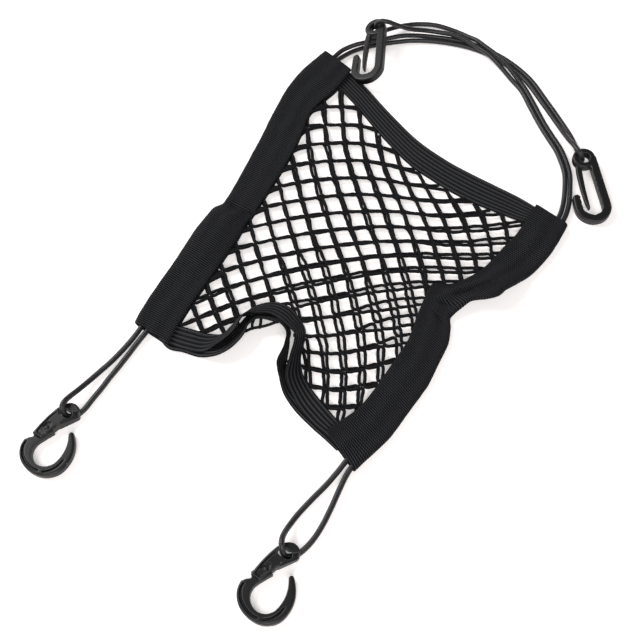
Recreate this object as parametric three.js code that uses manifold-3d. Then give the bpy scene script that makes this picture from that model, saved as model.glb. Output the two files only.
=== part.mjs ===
// Seat back mesh organizer: two layers of knotted net between webbing sleeves, with a ribbed
// elastic along the top, two along the open bottom, four elastic cord loops and four moulded
// hooks.  It lies on a table, front layer up, with its open edge drawn up in an arch.
// Millimetres, +Z up, the table is z = 0, and +Y points to the top edge.

import * as THREE from 'three';
import { mergeVertices } from 'three/addons/utils/BufferGeometryUtils.js';
import Module from 'manifold-3d';

const wasm = await Module();
wasm.setup();

// ---- Driving dimensions ----

const CLEARANCE = 0.3;        // between pieces that lie against each other
const WEBBING = 1.2;          // one layer of a sleeve
const LAYER = 1.0;            // one layer of net, or one of the two bottom elastics
const TOP_ELASTIC = 1.6;      // the ribbed elastic along the top edge
const SLEEVE_GAP = 3.4;       // between the two layers of a sleeve
const MOUTH_GAP = 4.8;        // the same at the ends, where the cords come out
const NET_INSET = 5;          // how far the net runs into a sleeve
const CORD = 4.0;             // diameter of the elastic cord
const LOW_HOOK = 7.0;         // thickness of a lower hook's ring
const LOW_HEAD = 9.0;         // thickness of a lower hook's head
const TOP_HOOK = 7.0;         // thickness of an upper hook
const TONGUE = 4.0;           // thickness of an upper hook's tongue

const BACK_LEVEL = WEBBING + 0.55 + LAYER / 2;            // middle of the back layer, in a sleeve
const FRONT_LEVEL = BACK_LEVEL + LAYER + 0.4;             // middle of the front layer
const TOP_LEVEL = (BACK_LEVEL + FRONT_LEVEL) / 2;         // middle of the top elastic
const SETTLE = BACK_LEVEL - LAYER / 2;                    // how far the net sinks to the table
const TOP_SETTLE = TOP_LEVEL - TOP_ELASTIC / 2;           // the same for the top elastic

// ---- Tables ----

// Rows of numbers as objects with named columns.
function table(columns, rows) {
  return rows.map((row) => Object.fromEntries(columns.map((name, i) => [name, row[i]])));
}

// A sleeve's sections, from the top end to the bottom end.
const SLEEVE_COLUMNS = ['outerX', 'outerY', 'innerX', 'innerY', 'gap'];

const LEFT_SLEEVE = table(SLEEVE_COLUMNS, [
  [-139, 190, -107, 185, MOUTH_GAP],
  [-142, 163, -106, 161, 4.6],
  [-141, 139, -109, 131, SLEEVE_GAP],
  [-135, 112, -101, 107, SLEEVE_GAP],
  [-127, 83, -93, 81, SLEEVE_GAP],
  [-118, 47, -87, 47, SLEEVE_GAP],
  [-111, 15, -82, 14, SLEEVE_GAP],
  [-113, 3, -80, 1, SLEEVE_GAP],
  [-112, -11, -77, -13, SLEEVE_GAP],
  [-108, -44, -74, -47, 3.8],
  [-105, -70, -73, -73, 4.0],
  [-101, -95, -69, -96, 4.7],
  [-97, -111, -65, -111, MOUTH_GAP],
]);

const RIGHT_SLEEVE = table(SLEEVE_COLUMNS, [
  [122, 151, 93, 153, MOUTH_GAP],
  [124, 127, 94, 121, 4.6],
  [123, 107, 92, 104, 3.8],
  [119, 86, 90, 83, 4.2],
  [113, 66, 86, 67, 4.2],
  [103, 53, 77, 53, 3.8],
  [94, 44, 66, 46, SLEEVE_GAP],
  [91, 33, 65, 39, SLEEVE_GAP],
  [95, 22, 68, 24, SLEEVE_GAP],
  [101, 9, 71, 12, SLEEVE_GAP],
  [104, -9, 76, -7, SLEEVE_GAP],
  [107, -29, 77, -25, SLEEVE_GAP],
  [107, -59, 78, -55, 3.2],
  [107, -77, 77, -73, 4.0],
  [104, -95, 72, -90, 4.6],
  [101, -112, 69, -100, MOUTH_GAP],
]);

// An elastic's sections, from left to right: the edge that the net is knotted to, the free
// edge, and how far the free edge stands above the other.
const ELASTIC_COLUMNS = ['netX', 'netY', 'freeX', 'freeY', 'rise'];

const TOP_EDGE = table(ELASTIC_COLUMNS, [
  [-114, 166, -117, 184, 0],
  [-101, 163, -104, 184, 0],
  [-84, 158, -88, 180, 0],
  [-50, 144, -56, 168, 0],
  [-14, 132, -21, 157, 0],
  [10, 129, 10, 153, 0],
  [31, 128, 33, 153, 0],
  [51, 129, 55, 154, 0],
  [77, 133, 79, 155, 0],
  [92, 135, 93, 153, 0],
  [103, 135, 103, 151, 0],
]);

const FRONT_EDGE = table(ELASTIC_COLUMNS, [
  [-78, -97, -75, -109.5, 0],
  [-69, -94, -65, -110, 0],
  [-57, -90, -53, -107, 0],
  [-47, -86, -41, -101, 1],
  [-39, -80, -33.5, -92, 9.5],
  [-38, -72, -29.5, -79, 12.5],
  [-37, -61, -30.5, -63.5, 15.2],
  [-33, -46, -26, -56, 11],
  [-24, -36, -20, -49, 8.5],
  [-13, -33, -11, -46.8, 8.5],
  [-2, -36, -3, -48.8, 9.5],
  [7, -42, 3, -54, 12],
  [12, -50, 7, -57, 14.5],
  [16, -59, 11, -63, 15.5],
  [22, -67, 14, -73, 14],
  [31, -74, 23, -85.5, 11],
  [45, -80, 40, -95.5, 4],
  [60, -85, 57, -100, 0],
  [73, -89, 70, -101.5, 0],
  [84, -93, 81, -104, 0],
]);

const BACK_EDGE = table(ELASTIC_COLUMNS, [
  [-79, -99, -77, -109.5, 0],
  [-69, -97, -64, -113, 0],
  [-58, -93, -53, -109, 0],
  [-47, -90, -41, -105, 0],
  [-37, -90, -30, -101, 8],
  [-29, -87, -24.5, -92, 14.5],
  [-26, -77, -27, -77.5, 17],
  [-25, -67, -26.5, -66.5, 16.8],
  [-23.5, -59, -23, -60.5, 16.8],
  [-18, -54, -17, -58.5, 16.3],
  [-11, -52.4, -11, -56.8, 16.3],
  [-4, -53.5, -5, -57, 16.5],
  [2, -58, 0, -60, 16.7],
  [6, -64, 4, -65, 16.8],
  [10, -72, 7, -74, 16.5],
  [14, -80, 9.5, -82.5, 16],
  [22, -83, 16.5, -89, 14],
  [32, -84, 28, -95, 8],
  [45, -85, 41, -99.5, 2],
  [60, -88, 57, -102.5, 0],
  [73, -92, 71, -104.5, 0],
  [84, -96, 82, -106.5, 0],
]);

// Where the cloth stands off the table: centre, reach along and across, the turn of "along"
// from +X in degrees, and height.
const LIFTS = table(['x', 'y', 'along', 'across', 'turn', 'height'], [
  [-98, -19, 46, 32, 97, 6],
  [109, 60, 42, 31, 56, 10.5],
]);

// A cord's route, from inside a sleeve, round its hook and back.
const UPPER_RIGHT_ROUTE = [
  [117, 143, 3.6], [116.3, 153, 3.6], [113.6, 166, 3.0], [109, 179, 2.2], [103.5, 191, 2.2],
  [92.5, 206, 2.2], [69.5, 225.5, 2.2], [55, 237.5, 2.9], [46, 245, 4.9], [37, 252, 5.8],
  [24, 260, 6.5], [11, 265.5, 6.7], [-9, 271, 6.7], [-29, 275.5, 6.7], [-37, 277.4, 6.3],
  [-45, 278.8, 4.2],
  [-60, 279.5, 2.3], [-78, 275.5, 2.3], [-92, 266.5, 2.8], [-101, 255, 4.6], [-107, 244, 6.2],
  [-109.7, 237.4, 7.4], [-110.4, 233.3, 9.6], [-110.7, 231.6, 13], [-111.9, 230.3, 17.6],
  [-111.7, 230.2, 21.4], [-108.6, 232, 24.3], [-103.6, 235, 24], [-97, 241, 18.8],
  [-89, 250.5, 11.6], [-80, 260.5, 7.0], [-70, 267, 5.4], [-56, 270.8, 6.7], [-39, 271, 6.7],
  [-20, 268.6, 6.8],
  [-4, 263.5, 5.2], [10, 256.5, 2.8], [33, 242.5, 2.2], [57, 225, 2.2], [71, 215, 2.2],
  [84, 203, 2.2], [97, 187, 2.2], [104.6, 173, 2.6], [109, 161, 3.4], [111, 153, 3.6],
  [111.5, 143, 3.6],
];

const UPPER_LEFT_ROUTE = [
  [-124, 180, 3.6], [-124.3, 189, 3.6], [-122.7, 198, 3.1], [-119, 209, 2.3], [-113, 218.5, 2.2],
  [-107, 226, 2.2], [-100, 233.5, 2.2], [-93, 240.5, 2.2], [-86, 247, 2.2], [-70, 257.5, 2.2],
  [-53, 265.5, 2.2], [-37, 270.5, 2.2], [-19, 272.5, 2.2], [1, 270.5, 2.2], [21, 264, 2.2],
  [43, 251, 2.2], [64, 237.5, 2.4], [76, 229, 5.4], [84, 222, 10.6], [90.5, 216.5, 14.2],
  [97.2, 212.6, 14.3], [101, 212, 10.2], [101, 213.2, 5.4],
  [99.6, 215.2, 3.2], [97, 218, 2.2],
  [91, 224.5, 2.2], [82, 232.5, 2.2], [68, 241.8, 2.2], [45.5, 255.5, 2.2], [23, 268.4, 2.2],
  [1.5, 275, 2.2], [-19, 277, 2.2], [-38.5, 275.2, 2.2], [-55.5, 270, 2.2], [-72.5, 261.8, 2.6],
  [-86, 251.4, 4.8], [-94, 243, 6.4], [-101, 234.5, 6.6], [-108, 226.5, 6.6],
  [-114.5, 219, 6.5], [-121.3, 210.5, 6.0], [-127.1, 200, 4.7], [-128.8, 190, 3.6],
  [-128.9, 180, 3.6],
];

const LOWER_LEFT_ROUTE = [
  [-92.5, -102, 3.6], [-92.3, -112, 3.6], [-91.8, -121, 3.0], [-91.3, -133, 2.2],
  [-92, -147, 2.2], [-94, -161, 2.2], [-96.6, -171, 2.6], [-97.3, -179.2, 4.6],
  [-96.1, -185.1, 8], [-94.4, -189.6, 11.2], [-92.4, -192.4, 12.2], [-90.4, -194.2, 11.4],
  [-88.8, -195.6, 9], [-87.4, -196, 6.3], [-85.6, -195.2, 3.8], [-83.4, -192.6, 2.5],
  [-81.4, -189.3, 2.2], [-79.9, -183.5, 2.2], [-79.5, -173, 2.2], [-80, -161, 2.2],
  [-80.5, -147, 2.2], [-81.5, -134, 2.2], [-83.5, -121, 3.0], [-84.5, -112, 3.6],
  [-85.5, -102, 3.6],
];

const LOWER_RIGHT_ROUTE = [
  [93.2, -101, 3.6], [92, -110, 3.6], [91.6, -119, 3.0], [90.5, -131, 2.2], [88.5, -145, 2.2],
  [87, -159, 2.4], [87.2, -168, 4], [88.3, -175, 8], [90, -179.8, 11.2], [91.8, -182.7, 12.2],
  [93.5, -184.5, 11.4], [95, -186, 9], [96.4, -186.5, 6.3], [98.2, -185.8, 3.8],
  [100.6, -183.4, 2.5], [102.8, -180.2, 2.2], [104.7, -173, 2.2], [105.3, -164, 2.2],
  [104.5, -154, 2.2], [102.5, -142, 2.2], [99.8, -129, 2.2], [97.9, -118, 3.0],
  [97.6, -111, 3.6], [98.6, -101.5, 3.6],
];

// A hook's place: the middle of its bend, its turn about Z, how far its shank side is rolled
// up and its eye end tilted up, in degrees, and how high its lowest point is.
const HOOK_PLACES = {
  hook_lower_left: { x: -79, y: -221, turn: 4, roll: 0, tilt: 0, rise: 0 },
  hook_lower_right: { x: 103, y: -212, turn: 0, roll: 0, tilt: 0, rise: 0 },
  hook_upper_left: { x: -92.2, y: 189.6, turn: 30.5, roll: 24, tilt: 0.5, rise: 3.8 },
  hook_upper_right: { x: 129.5, y: 177.5, turn: 44, roll: 3, tilt: 4, rise: 0 },
};

// A moulded strip's middle line and half width.
const STRIP_COLUMNS = ['x', 'y', 'half'];

// The lower hook's ring, from the neck round to its tip.
const LOW_RING = table(STRIP_COLUMNS, [
  [-8.5, 13, 4.3],
  [-12, 6, 4.6],
  [-14.6, -1.5, 4.7],
  [-13.6, -8.5, 4.6],
  [-8.8, -13.3, 4.0],
  [-1, -15.4, 3.2],
  [6.8, -13.8, 3.4],
  [12.4, -8.6, 3.8],
  [14.2, -1.5, 3.7],
  [13, 5.5, 3.3],
  [10, 11.5, 2.6],
  [6.3, 16, 1.9],
]);

// The upper hook's gate tongue, from the eye down to its point.
const TONGUE_STRIP = table(STRIP_COLUMNS, [
  [0.2, 41, 2.4],
  [-1.4, 34, 2.3],
  [-2.6, 18, 2.0],
  [-2.8, 6, 1.6],
  [-2.4, -0.5, 0.9],
]);

// ---- Finishes ----

const FINISHES = {
  webbing: new THREE.MeshStandardMaterial({ color: 0x1e1e21, roughness: 0.9, metalness: 0 }),
  elastic: new THREE.MeshStandardMaterial({ color: 0x1b1b1e, roughness: 0.85, metalness: 0 }),
  net: new THREE.MeshStandardMaterial({ color: 0x19191c, roughness: 0.9, metalness: 0 }),
  cord: new THREE.MeshStandardMaterial({ color: 0x2a2a2d, roughness: 0.7, metalness: 0 }),
  plastic: new THREE.MeshStandardMaterial({ color: 0x262628, roughness: 0.45, metalness: 0 }),
};

const organizer = new THREE.Group();

function addPiece(name, geometry, finish) {
  const mesh = new THREE.Mesh(geometry, finish);
  mesh.name = name;
  organizer.add(mesh);
  return mesh;
}

// ---- Cloth ----

// Height of the cloth above where it would lie flat.
function lift(x, y) {
  let height = 0;
  for (const bump of LIFTS) {
    const turn = THREE.MathUtils.degToRad(bump.turn);
    const dx = x - bump.x;
    const dy = y - bump.y;
    const along = (dx * Math.cos(turn) + dy * Math.sin(turn)) / bump.along;
    const across = (dy * Math.cos(turn) - dx * Math.sin(turn)) / bump.across;
    const reach = Math.min(along ** 2 + across ** 2, 1);
    height += bump.height * (1 - reach) ** 2;
  }
  return height;
}

// 0 in the sleeves and 1 where the cloth between them has come down to the table.
function settled(across) {
  const fromSleeve = Math.min(across, 1 - across);
  return THREE.MathUtils.smoothstep(fromSleeve, 0.08, 0.2);
}

// The rows of a table and others between them, every column on a smooth curve.
function smooth(rows, steps) {
  const columns = Object.keys(rows[0]);
  const curves = columns.map((name) => new THREE.SplineCurve(
    rows.map((row, i) => new THREE.Vector2(i, row[name]))));
  const count = (rows.length - 1) * steps;
  return Array.from({ length: count + 1 }, (_, i) => Object.fromEntries(
    columns.map((name, c) => [name, curves[c].getPoint(i / count).y])));
}

// A closed sheet from rows of points that each have a place on its upper and its lower face.
function sheetSolid(rows) {
  const down = rows.length;
  const across = rows[0].length;
  const positions = [];
  for (const face of ['upper', 'lower']) {
    for (const row of rows) {
      for (const point of row) {
        positions.push(...point[face].toArray());
      }
    }
  }
  const upper = (i, j) => i * across + j;
  const lower = (i, j) => down * across + upper(i, j);
  const triangles = [];
  const quad = (a, b, c, d) => triangles.push(a, b, c, a, c, d);
  for (let i = 0; i + 1 < down; i += 1) {
    for (let j = 0; j + 1 < across; j += 1) {
      quad(upper(i, j), upper(i + 1, j), upper(i + 1, j + 1), upper(i, j + 1));
      quad(lower(i, j), lower(i, j + 1), lower(i + 1, j + 1), lower(i + 1, j));
    }
    quad(upper(i, 0), lower(i, 0), lower(i + 1, 0), upper(i + 1, 0));
    quad(upper(i, across - 1), upper(i + 1, across - 1), lower(i + 1, across - 1),
      lower(i, across - 1));
  }
  for (let j = 0; j + 1 < across; j += 1) {
    quad(upper(0, j), upper(0, j + 1), lower(0, j + 1), lower(0, j));
    quad(upper(down - 1, j), lower(down - 1, j), lower(down - 1, j + 1), upper(down - 1, j + 1));
  }
  const geometry = new THREE.BufferGeometry();
  geometry.setAttribute('position', new THREE.Float32BufferAttribute(positions, 3));
  geometry.setIndex(signedVolume(positions, triangles) > 0 ? triangles : triangles.reverse());
  return geometry;
}

function signedVolume(positions, triangles) {
  const corner = (n) => new THREE.Vector3().fromArray(positions, 3 * triangles[n]);
  let volume = 0;
  for (let n = 0; n < triangles.length; n += 3) {
    volume += corner(n).dot(corner(n + 1).cross(corner(n + 2))) / 6;
  }
  return volume;
}

// The webbing folded round a sleeve's outer edge: distance in from that edge, height, and the
// way that the webbing's outside faces.
function sleeveProfile(width, gap) {
  const bend = (gap + WEBBING) / 2;
  const centre = bend + WEBBING / 2;
  const flat = [1, 0.75, 0.5, 0.25];
  const profile = flat.map((part) => ({
    inward: centre + (width - centre) * part, up: WEBBING / 2, faceIn: 0, faceUp: -1,
  }));
  const foldSteps = 6;
  for (let k = 0; k <= foldSteps; k += 1) {
    const angle = -Math.PI / 2 - (Math.PI * k) / foldSteps;
    profile.push({
      inward: centre + bend * Math.cos(angle),
      up: centre + bend * Math.sin(angle),
      faceIn: Math.cos(angle),
      faceUp: Math.sin(angle),
    });
  }
  for (const part of flat.toReversed()) {
    profile.push({
      inward: centre + (width - centre) * part, up: centre + bend, faceIn: 0, faceUp: 1,
    });
  }
  return profile;
}

function sleeve(rows) {
  return sheetSolid(smooth(rows, 3).map((row) => {
    const outer = new THREE.Vector2(row.outerX, row.outerY);
    const inner = new THREE.Vector2(row.innerX, row.innerY);
    const width = outer.distanceTo(inner);
    const inwards = inner.sub(outer).divideScalar(width);
    const place = (distance, up) => {
      const x = outer.x + inwards.x * distance;
      const y = outer.y + inwards.y * distance;
      return new THREE.Vector3(x, y, up + lift(x, y));
    };
    return sleeveProfile(width, row.gap).map((p) => ({
      upper: place(p.inward + p.faceIn * WEBBING / 2, p.up + p.faceUp * WEBBING / 2),
      lower: place(p.inward - p.faceIn * WEBBING / 2, p.up - p.faceUp * WEBBING / 2),
    }));
  }));
}

// An elastic's sections with the height of its net edge worked out.
function elasticSections(rows, level, settle) {
  const sections = smooth(rows, 3);
  return sections.map((row, i) => {
    const base = level - settle * settled(i / (sections.length - 1));
    return {
      net: new THREE.Vector3(row.netX, row.netY, base + lift(row.netX, row.netY)),
      free: new THREE.Vector3(
        row.freeX, row.freeY, base + row.rise + lift(row.freeX, row.freeY)),
    };
  });
}

function elastic(sections, thickness) {
  const acrossParts = [0, 0.5, 1];
  return sheetSolid(sections.map((section, i) => {
    const before = sections[Math.max(i - 1, 0)];
    const after = sections[Math.min(i + 1, sections.length - 1)];
    return acrossParts.map((part) => {
      const along = after.net.clone().lerp(after.free, part)
        .sub(before.net.clone().lerp(before.free, part));
      const across = section.free.clone().sub(section.net);
      const facing = across.cross(along).setLength(thickness / 2);
      const middle = section.net.clone().lerp(section.free, part);
      return { upper: middle.clone().add(facing), lower: middle.clone().sub(facing) };
    });
  }));
}

// The line that a net ends on beside an elastic, clear of the elastic's edge.
function netEdge(sections, thickness, side) {
  return sections.map((section, i) => {
    const before = sections[Math.max(i - 1, 0)].net;
    const after = sections[Math.min(i + 1, sections.length - 1)].net;
    const away = new THREE.Vector3(before.y - after.y, after.x - before.x, 0).setLength(side);
    const width = section.free.distanceTo(section.net);
    const steepness = Math.abs(section.free.z - section.net.z) / width;
    const gap = CLEARANCE + 0.3 + steepness * thickness / 2;
    return section.net.clone().addScaledVector(away, gap).setZ(0);
  });
}

// The line that a net ends on inside a sleeve, between the corners that the elastics give.
function sleeveEdge(rows, top, bottom) {
  const inset = rows.slice(2, -2).map((row) => {
    const inner = new THREE.Vector3(row.innerX, row.innerY, 0);
    const outwards = new THREE.Vector3(row.outerX, row.outerY, 0).sub(inner);
    return inner.add(outwards.setLength(NET_INSET));
  });
  return new THREE.CatmullRomCurve3([top, ...inset, bottom]);
}

// A net as a thin sheet that fills the space between its four edges.
function netSheet(topSections, bottomSections, level) {
  const across = 32;
  const down = 13;
  const top = new THREE.CatmullRomCurve3(netEdge(topSections, 0, -1));
  const bottom = new THREE.CatmullRomCurve3(netEdge(bottomSections, LAYER, 1));
  const left = sleeveEdge(LEFT_SLEEVE, top.getPointAt(0), bottom.getPointAt(0));
  const right = sleeveEdge(RIGHT_SLEEVE, top.getPointAt(1), bottom.getPointAt(1));
  const rows = [];
  for (let j = 0; j <= down; j += 1) {
    const v = j / down;
    const row = [];
    for (let i = 0; i <= across; i += 1) {
      const u = i / across;
      const middle = new THREE.Vector3()
        .addScaledVector(top.getPointAt(u), 1 - v)
        .addScaledVector(bottom.getPointAt(u), v)
        .addScaledVector(left.getPointAt(v), 1 - u)
        .addScaledVector(right.getPointAt(v), u)
        .addScaledVector(top.getPointAt(0), -(1 - u) * (1 - v))
        .addScaledVector(top.getPointAt(1), -u * (1 - v))
        .addScaledVector(bottom.getPointAt(0), -(1 - u) * v)
        .addScaledVector(bottom.getPointAt(1), -u * v);
      middle.z = level - SETTLE * settled(u) + lift(middle.x, middle.y);
      row.push({
        upper: middle.clone().setZ(middle.z + LAYER / 2),
        lower: middle.clone().setZ(middle.z - LAYER / 2),
      });
    }
    rows.push(row);
  }
  return sheetSolid(rows);
}

const topSections = elasticSections(TOP_EDGE, TOP_LEVEL, TOP_SETTLE);
const frontSections = elasticSections(FRONT_EDGE, FRONT_LEVEL, SETTLE);
const backSections = elasticSections(BACK_EDGE, BACK_LEVEL, SETTLE);

addPiece('sleeve_left', sleeve(LEFT_SLEEVE), FINISHES.webbing);
addPiece('sleeve_right', sleeve(RIGHT_SLEEVE), FINISHES.webbing);
addPiece('elastic_top', elastic(topSections, TOP_ELASTIC), FINISHES.elastic);
addPiece('elastic_front', elastic(frontSections, LAYER), FINISHES.elastic);
addPiece('elastic_back', elastic(backSections, LAYER), FINISHES.elastic);
addPiece('net_front', netSheet(topSections, frontSections, FRONT_LEVEL), FINISHES.net);
addPiece('net_back', netSheet(topSections, backSections, BACK_LEVEL), FINISHES.net);

// ---- Cords ----

// A smooth route whose even steps follow its points, so they are closer where it turns.
class Route extends THREE.CatmullRomCurve3 {
  getPointAt(t, target) {
    return this.getPoint(t, target);
  }

  getTangentAt(t, target) {
    return this.getTangent(t, target);
  }
}

function cord(points) {
  const sides = 8;
  const section = new THREE.Shape(Array.from({ length: sides }, (_, i) => {
    const angle = (2 * Math.PI * i) / sides;
    return new THREE.Vector2(Math.cos(angle), Math.sin(angle)).multiplyScalar(CORD / 2);
  }));
  return new THREE.ExtrudeGeometry(section, {
    steps: Math.min(2 * (points.length - 1), 80),
    extrudePath: new Route(points.map((point) => new THREE.Vector3(...point))),
  });
}

addPiece('cord_upper_left', cord(UPPER_LEFT_ROUTE), FINISHES.cord);
addPiece('cord_upper_right', cord(UPPER_RIGHT_ROUTE), FINISHES.cord);
addPiece('cord_lower_left', cord(LOWER_LEFT_ROUTE), FINISHES.cord);
addPiece('cord_lower_right', cord(LOWER_RIGHT_ROUTE), FINISHES.cord);

// ---- Hooks ----

function toSolid(geometry) {
  const bare = geometry.clone();
  bare.deleteAttribute('normal');
  bare.deleteAttribute('uv');
  const merged = mergeVertices(bare, 1e-4);
  return new wasm.Manifold(new wasm.Mesh({
    numProp: 3,
    vertProperties: new Float32Array(merged.attributes.position.array),
    triVerts: new Uint32Array(merged.index.array),
  }));
}

function fromSolid(solid) {
  const mesh = solid.getMesh();
  const geometry = new THREE.BufferGeometry();
  geometry.setAttribute('position', new THREE.Float32BufferAttribute(mesh.vertProperties, 3));
  geometry.setIndex(new THREE.Uint32BufferAttribute(mesh.triVerts, 1));
  return geometry;
}

// A flat moulding of the given thickness with softened edges, its underside at z = base.
function moulding(outline, thickness, edge, base = 0) {
  const geometry = new THREE.ExtrudeGeometry(outline, {
    depth: thickness - 2 * edge,
    bevelThickness: edge,
    bevelSize: edge,
    bevelOffset: -edge,
    bevelSegments: 2,
    curveSegments: 10,
  });
  return toSolid(geometry.translate(0, 0, base + edge));
}

// The outline of a strip with a round far end.
function stripOutline(rows, steps) {
  const stations = smooth(rows, steps);
  const left = [];
  const right = [];
  stations.forEach((station, i) => {
    const before = stations[Math.max(i - 1, 0)];
    const after = stations[Math.min(i + 1, stations.length - 1)];
    const along = new THREE.Vector2(after.x - before.x, after.y - before.y).normalize();
    const side = new THREE.Vector2(-along.y, along.x).multiplyScalar(station.half);
    const middle = new THREE.Vector2(station.x, station.y);
    left.push(middle.clone().add(side));
    right.push(middle.clone().sub(side));
  });
  const last = stations.at(-1);
  const centre = new THREE.Vector2(last.x, last.y);
  const start = left.at(-1).clone().sub(centre);
  const tip = [0.25, 0.5, 0.75].map((part) => start.clone()
    .rotateAround(new THREE.Vector2(), -Math.PI * part).add(centre));
  return new THREE.Shape([...left, ...tip, ...right.reverse()]);
}

function roundOutline(x, y, radius) {
  const outline = new THREE.Shape();
  outline.absarc(x, y, radius, 0, 2 * Math.PI);
  return outline;
}

// A slot with round ends from one point to another, cut right through.
function slotCutter(x0, y0, x1, y1, radius, low, high) {
  const turn = Math.atan2(y1 - y0, x1 - x0);
  const outline = new THREE.Shape();
  outline.absarc(x1, y1, radius, turn - Math.PI / 2, turn + Math.PI / 2);
  outline.absarc(x0, y0, radius, turn + Math.PI / 2, turn + 1.5 * Math.PI);
  const geometry = new THREE.ExtrudeGeometry(outline, {
    depth: high - low, bevelEnabled: false, curveSegments: 8,
  });
  return toSolid(geometry.translate(0, 0, low));
}

// A lower hook: a ring open beside a tapered head, which has an eye for the cord and a
// channel in its underside where the cord leaves.
function lowerHook() {
  const edge = 1.2;
  const head = new THREE.Shape();
  head.moveTo(-16.4, 2.5);
  head.lineTo(-9, 2.5);
  head.lineTo(-5.4, 15.5);
  head.lineTo(-4.4, 16.5);
  head.lineTo(2.2, 28);
  head.quadraticCurveTo(3.2, 34.6, -4.5, 35.2);
  head.quadraticCurveTo(-10.5, 34.6, -13.2, 27);
  head.quadraticCurveTo(-16.4, 16, -16.4, 2.5);
  const ring = moulding(stripOutline(LOW_RING, 3), LOW_HOOK, edge);
  const eye = slotCutter(-8.8, 26.4, -4.6, 26.4, 3.2, -1, LOW_HEAD + 1);
  const channel = slotCutter(-4, 27, 3.4, 37.8, 2.9, -1, 5.4);
  return ring.add(moulding(head, LOW_HEAD, edge)).subtract(eye).subtract(channel);
}

// An upper hook: one strip that bends round at the bottom, with an eye at the top whose end
// runs back down inside as a springy pointed tongue.
function upperHook() {
  const edge = 1.2;
  const shank = 11.5;
  const bend = 11.1;
  const centre = shank - bend;
  const arc = [0, 22.5, 45, 67.5, 90, 112.5, 135, 157.5, 180].map((degrees) => {
    const angle = THREE.MathUtils.degToRad(-degrees);
    return [centre + bend * Math.cos(angle), bend * Math.sin(angle), 3.5 - degrees / 360];
  });
  const strip = table(STRIP_COLUMNS, [
    [shank, 45, 3.5], [shank, 30, 3.5], [shank, 15, 3.5],
    ...arc,
    [-10.5, 4, 3.0], [-10.2, 9.6, 2.9],
  ]);
  const eye = { x: 5.3, y: 45, outer: 9.2, hole: 4.7 };
  const body = moulding(stripOutline(strip, 2), TOP_HOOK, edge)
    .add(moulding(roundOutline(eye.x, eye.y, eye.outer), TOP_HOOK, edge))
    .add(moulding(stripOutline(TONGUE_STRIP, 3), TONGUE, 0.6, (TOP_HOOK - TONGUE) / 2));
  const hole = slotCutter(eye.x, eye.y - 0.01, eye.x, eye.y + 0.01, eye.hole, -1, TOP_HOOK + 1);
  return body.subtract(hole);
}

function addHook(name, solid) {
  const place = HOOK_PLACES[name];
  const hook = addPiece(name, fromSolid(solid), FINISHES.plastic);
  const radians = THREE.MathUtils.degToRad;
  hook.rotation.set(radians(place.tilt), radians(-place.roll), radians(place.turn), 'ZXY');
  hook.position.set(place.x, place.y, 0);
  hook.updateMatrixWorld(true);
  hook.position.z = place.rise - new THREE.Box3().setFromObject(hook, true).min.z;
}

addHook('hook_lower_left', lowerHook());
addHook('hook_lower_right', lowerHook());
addHook('hook_upper_left', upperHook());
addHook('hook_upper_right', upperHook());

export default organizer;
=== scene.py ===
"""The looks of a seat back mesh organizer: two layers of net between webbing sleeves, with ribbed
elastics along the top and the open bottom, four elastic cord loops and four moulded hooks.
Tables are in millimetres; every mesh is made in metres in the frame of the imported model."""

import math

import bmesh
import bpy
from mathutils import Euler, Matrix, Vector, noise


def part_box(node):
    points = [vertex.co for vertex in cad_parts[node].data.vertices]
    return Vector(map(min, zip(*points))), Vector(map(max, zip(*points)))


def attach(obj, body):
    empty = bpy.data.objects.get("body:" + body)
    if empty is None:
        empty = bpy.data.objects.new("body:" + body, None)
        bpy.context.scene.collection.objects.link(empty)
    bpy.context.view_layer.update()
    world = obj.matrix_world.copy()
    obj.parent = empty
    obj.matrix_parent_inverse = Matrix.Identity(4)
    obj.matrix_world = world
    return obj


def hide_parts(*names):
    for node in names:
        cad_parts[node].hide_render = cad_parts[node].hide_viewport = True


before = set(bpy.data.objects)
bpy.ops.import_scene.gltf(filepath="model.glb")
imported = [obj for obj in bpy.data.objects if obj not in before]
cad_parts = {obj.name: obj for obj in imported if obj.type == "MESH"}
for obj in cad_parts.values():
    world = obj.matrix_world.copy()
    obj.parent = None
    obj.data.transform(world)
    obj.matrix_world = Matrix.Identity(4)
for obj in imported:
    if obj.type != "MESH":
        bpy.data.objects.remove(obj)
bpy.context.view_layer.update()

# The sway of the net's strands comes from this seed, so that every run gives the same result.
SWAY_SEED = 1795353276
noise.seed_set(SWAY_SEED)

MM = 0.001

# ---- Objects and nodes ----


def add_object(name, data, material=None):
    if material:
        data.materials.append(material)
    piece = bpy.data.objects.new(name, data)
    bpy.context.collection.objects.link(piece)
    return piece


def add_aimed(name, data, place, aim):
    """A camera or a light at a place, looking at another."""
    piece = add_object(name, data)
    piece.location = place
    towards = Vector(aim) - Vector(place)
    piece.rotation_euler = towards.to_track_quat("-Z", "Y").to_euler()
    return piece


def add_node(tree, kind, settings, inputs):
    """A node's outputs; its inputs are numbers, other nodes' outputs or materials."""
    node = tree.nodes.new(kind)
    for name, value in (settings or {}).items():
        setattr(node, name, value)
    for name, value in inputs.items():
        socket = node.inputs[name.replace("_", " ")]
        if isinstance(value, bpy.types.NodeSocket):
            tree.links.new(value, socket)
        else:
            socket.default_value = value
    return node.outputs


def add_camera(place, aim):
    data = bpy.data.cameras.new("camera")
    data.lens = 54.7
    data.sensor_width = 36
    bpy.context.scene.camera = add_aimed("camera", data, place, aim)


add_camera((0.2160, -0.3140, 0.6337), (0.012, -0.028, 0.0))

# ---- Lines and tables ----


def table(columns, rows):
    return [dict(zip(columns.split(), row)) for row in rows]


def between(a, b, leave, arrive, w):
    """A smooth way from a to b for w from 0 to 1, with its slopes at the two."""
    return (
        a + leave * w + ((b - a) * 3 - leave * 2 - arrive) * w**2
        + ((a - b) * 2 + leave + arrive) * w**3
    )


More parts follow.
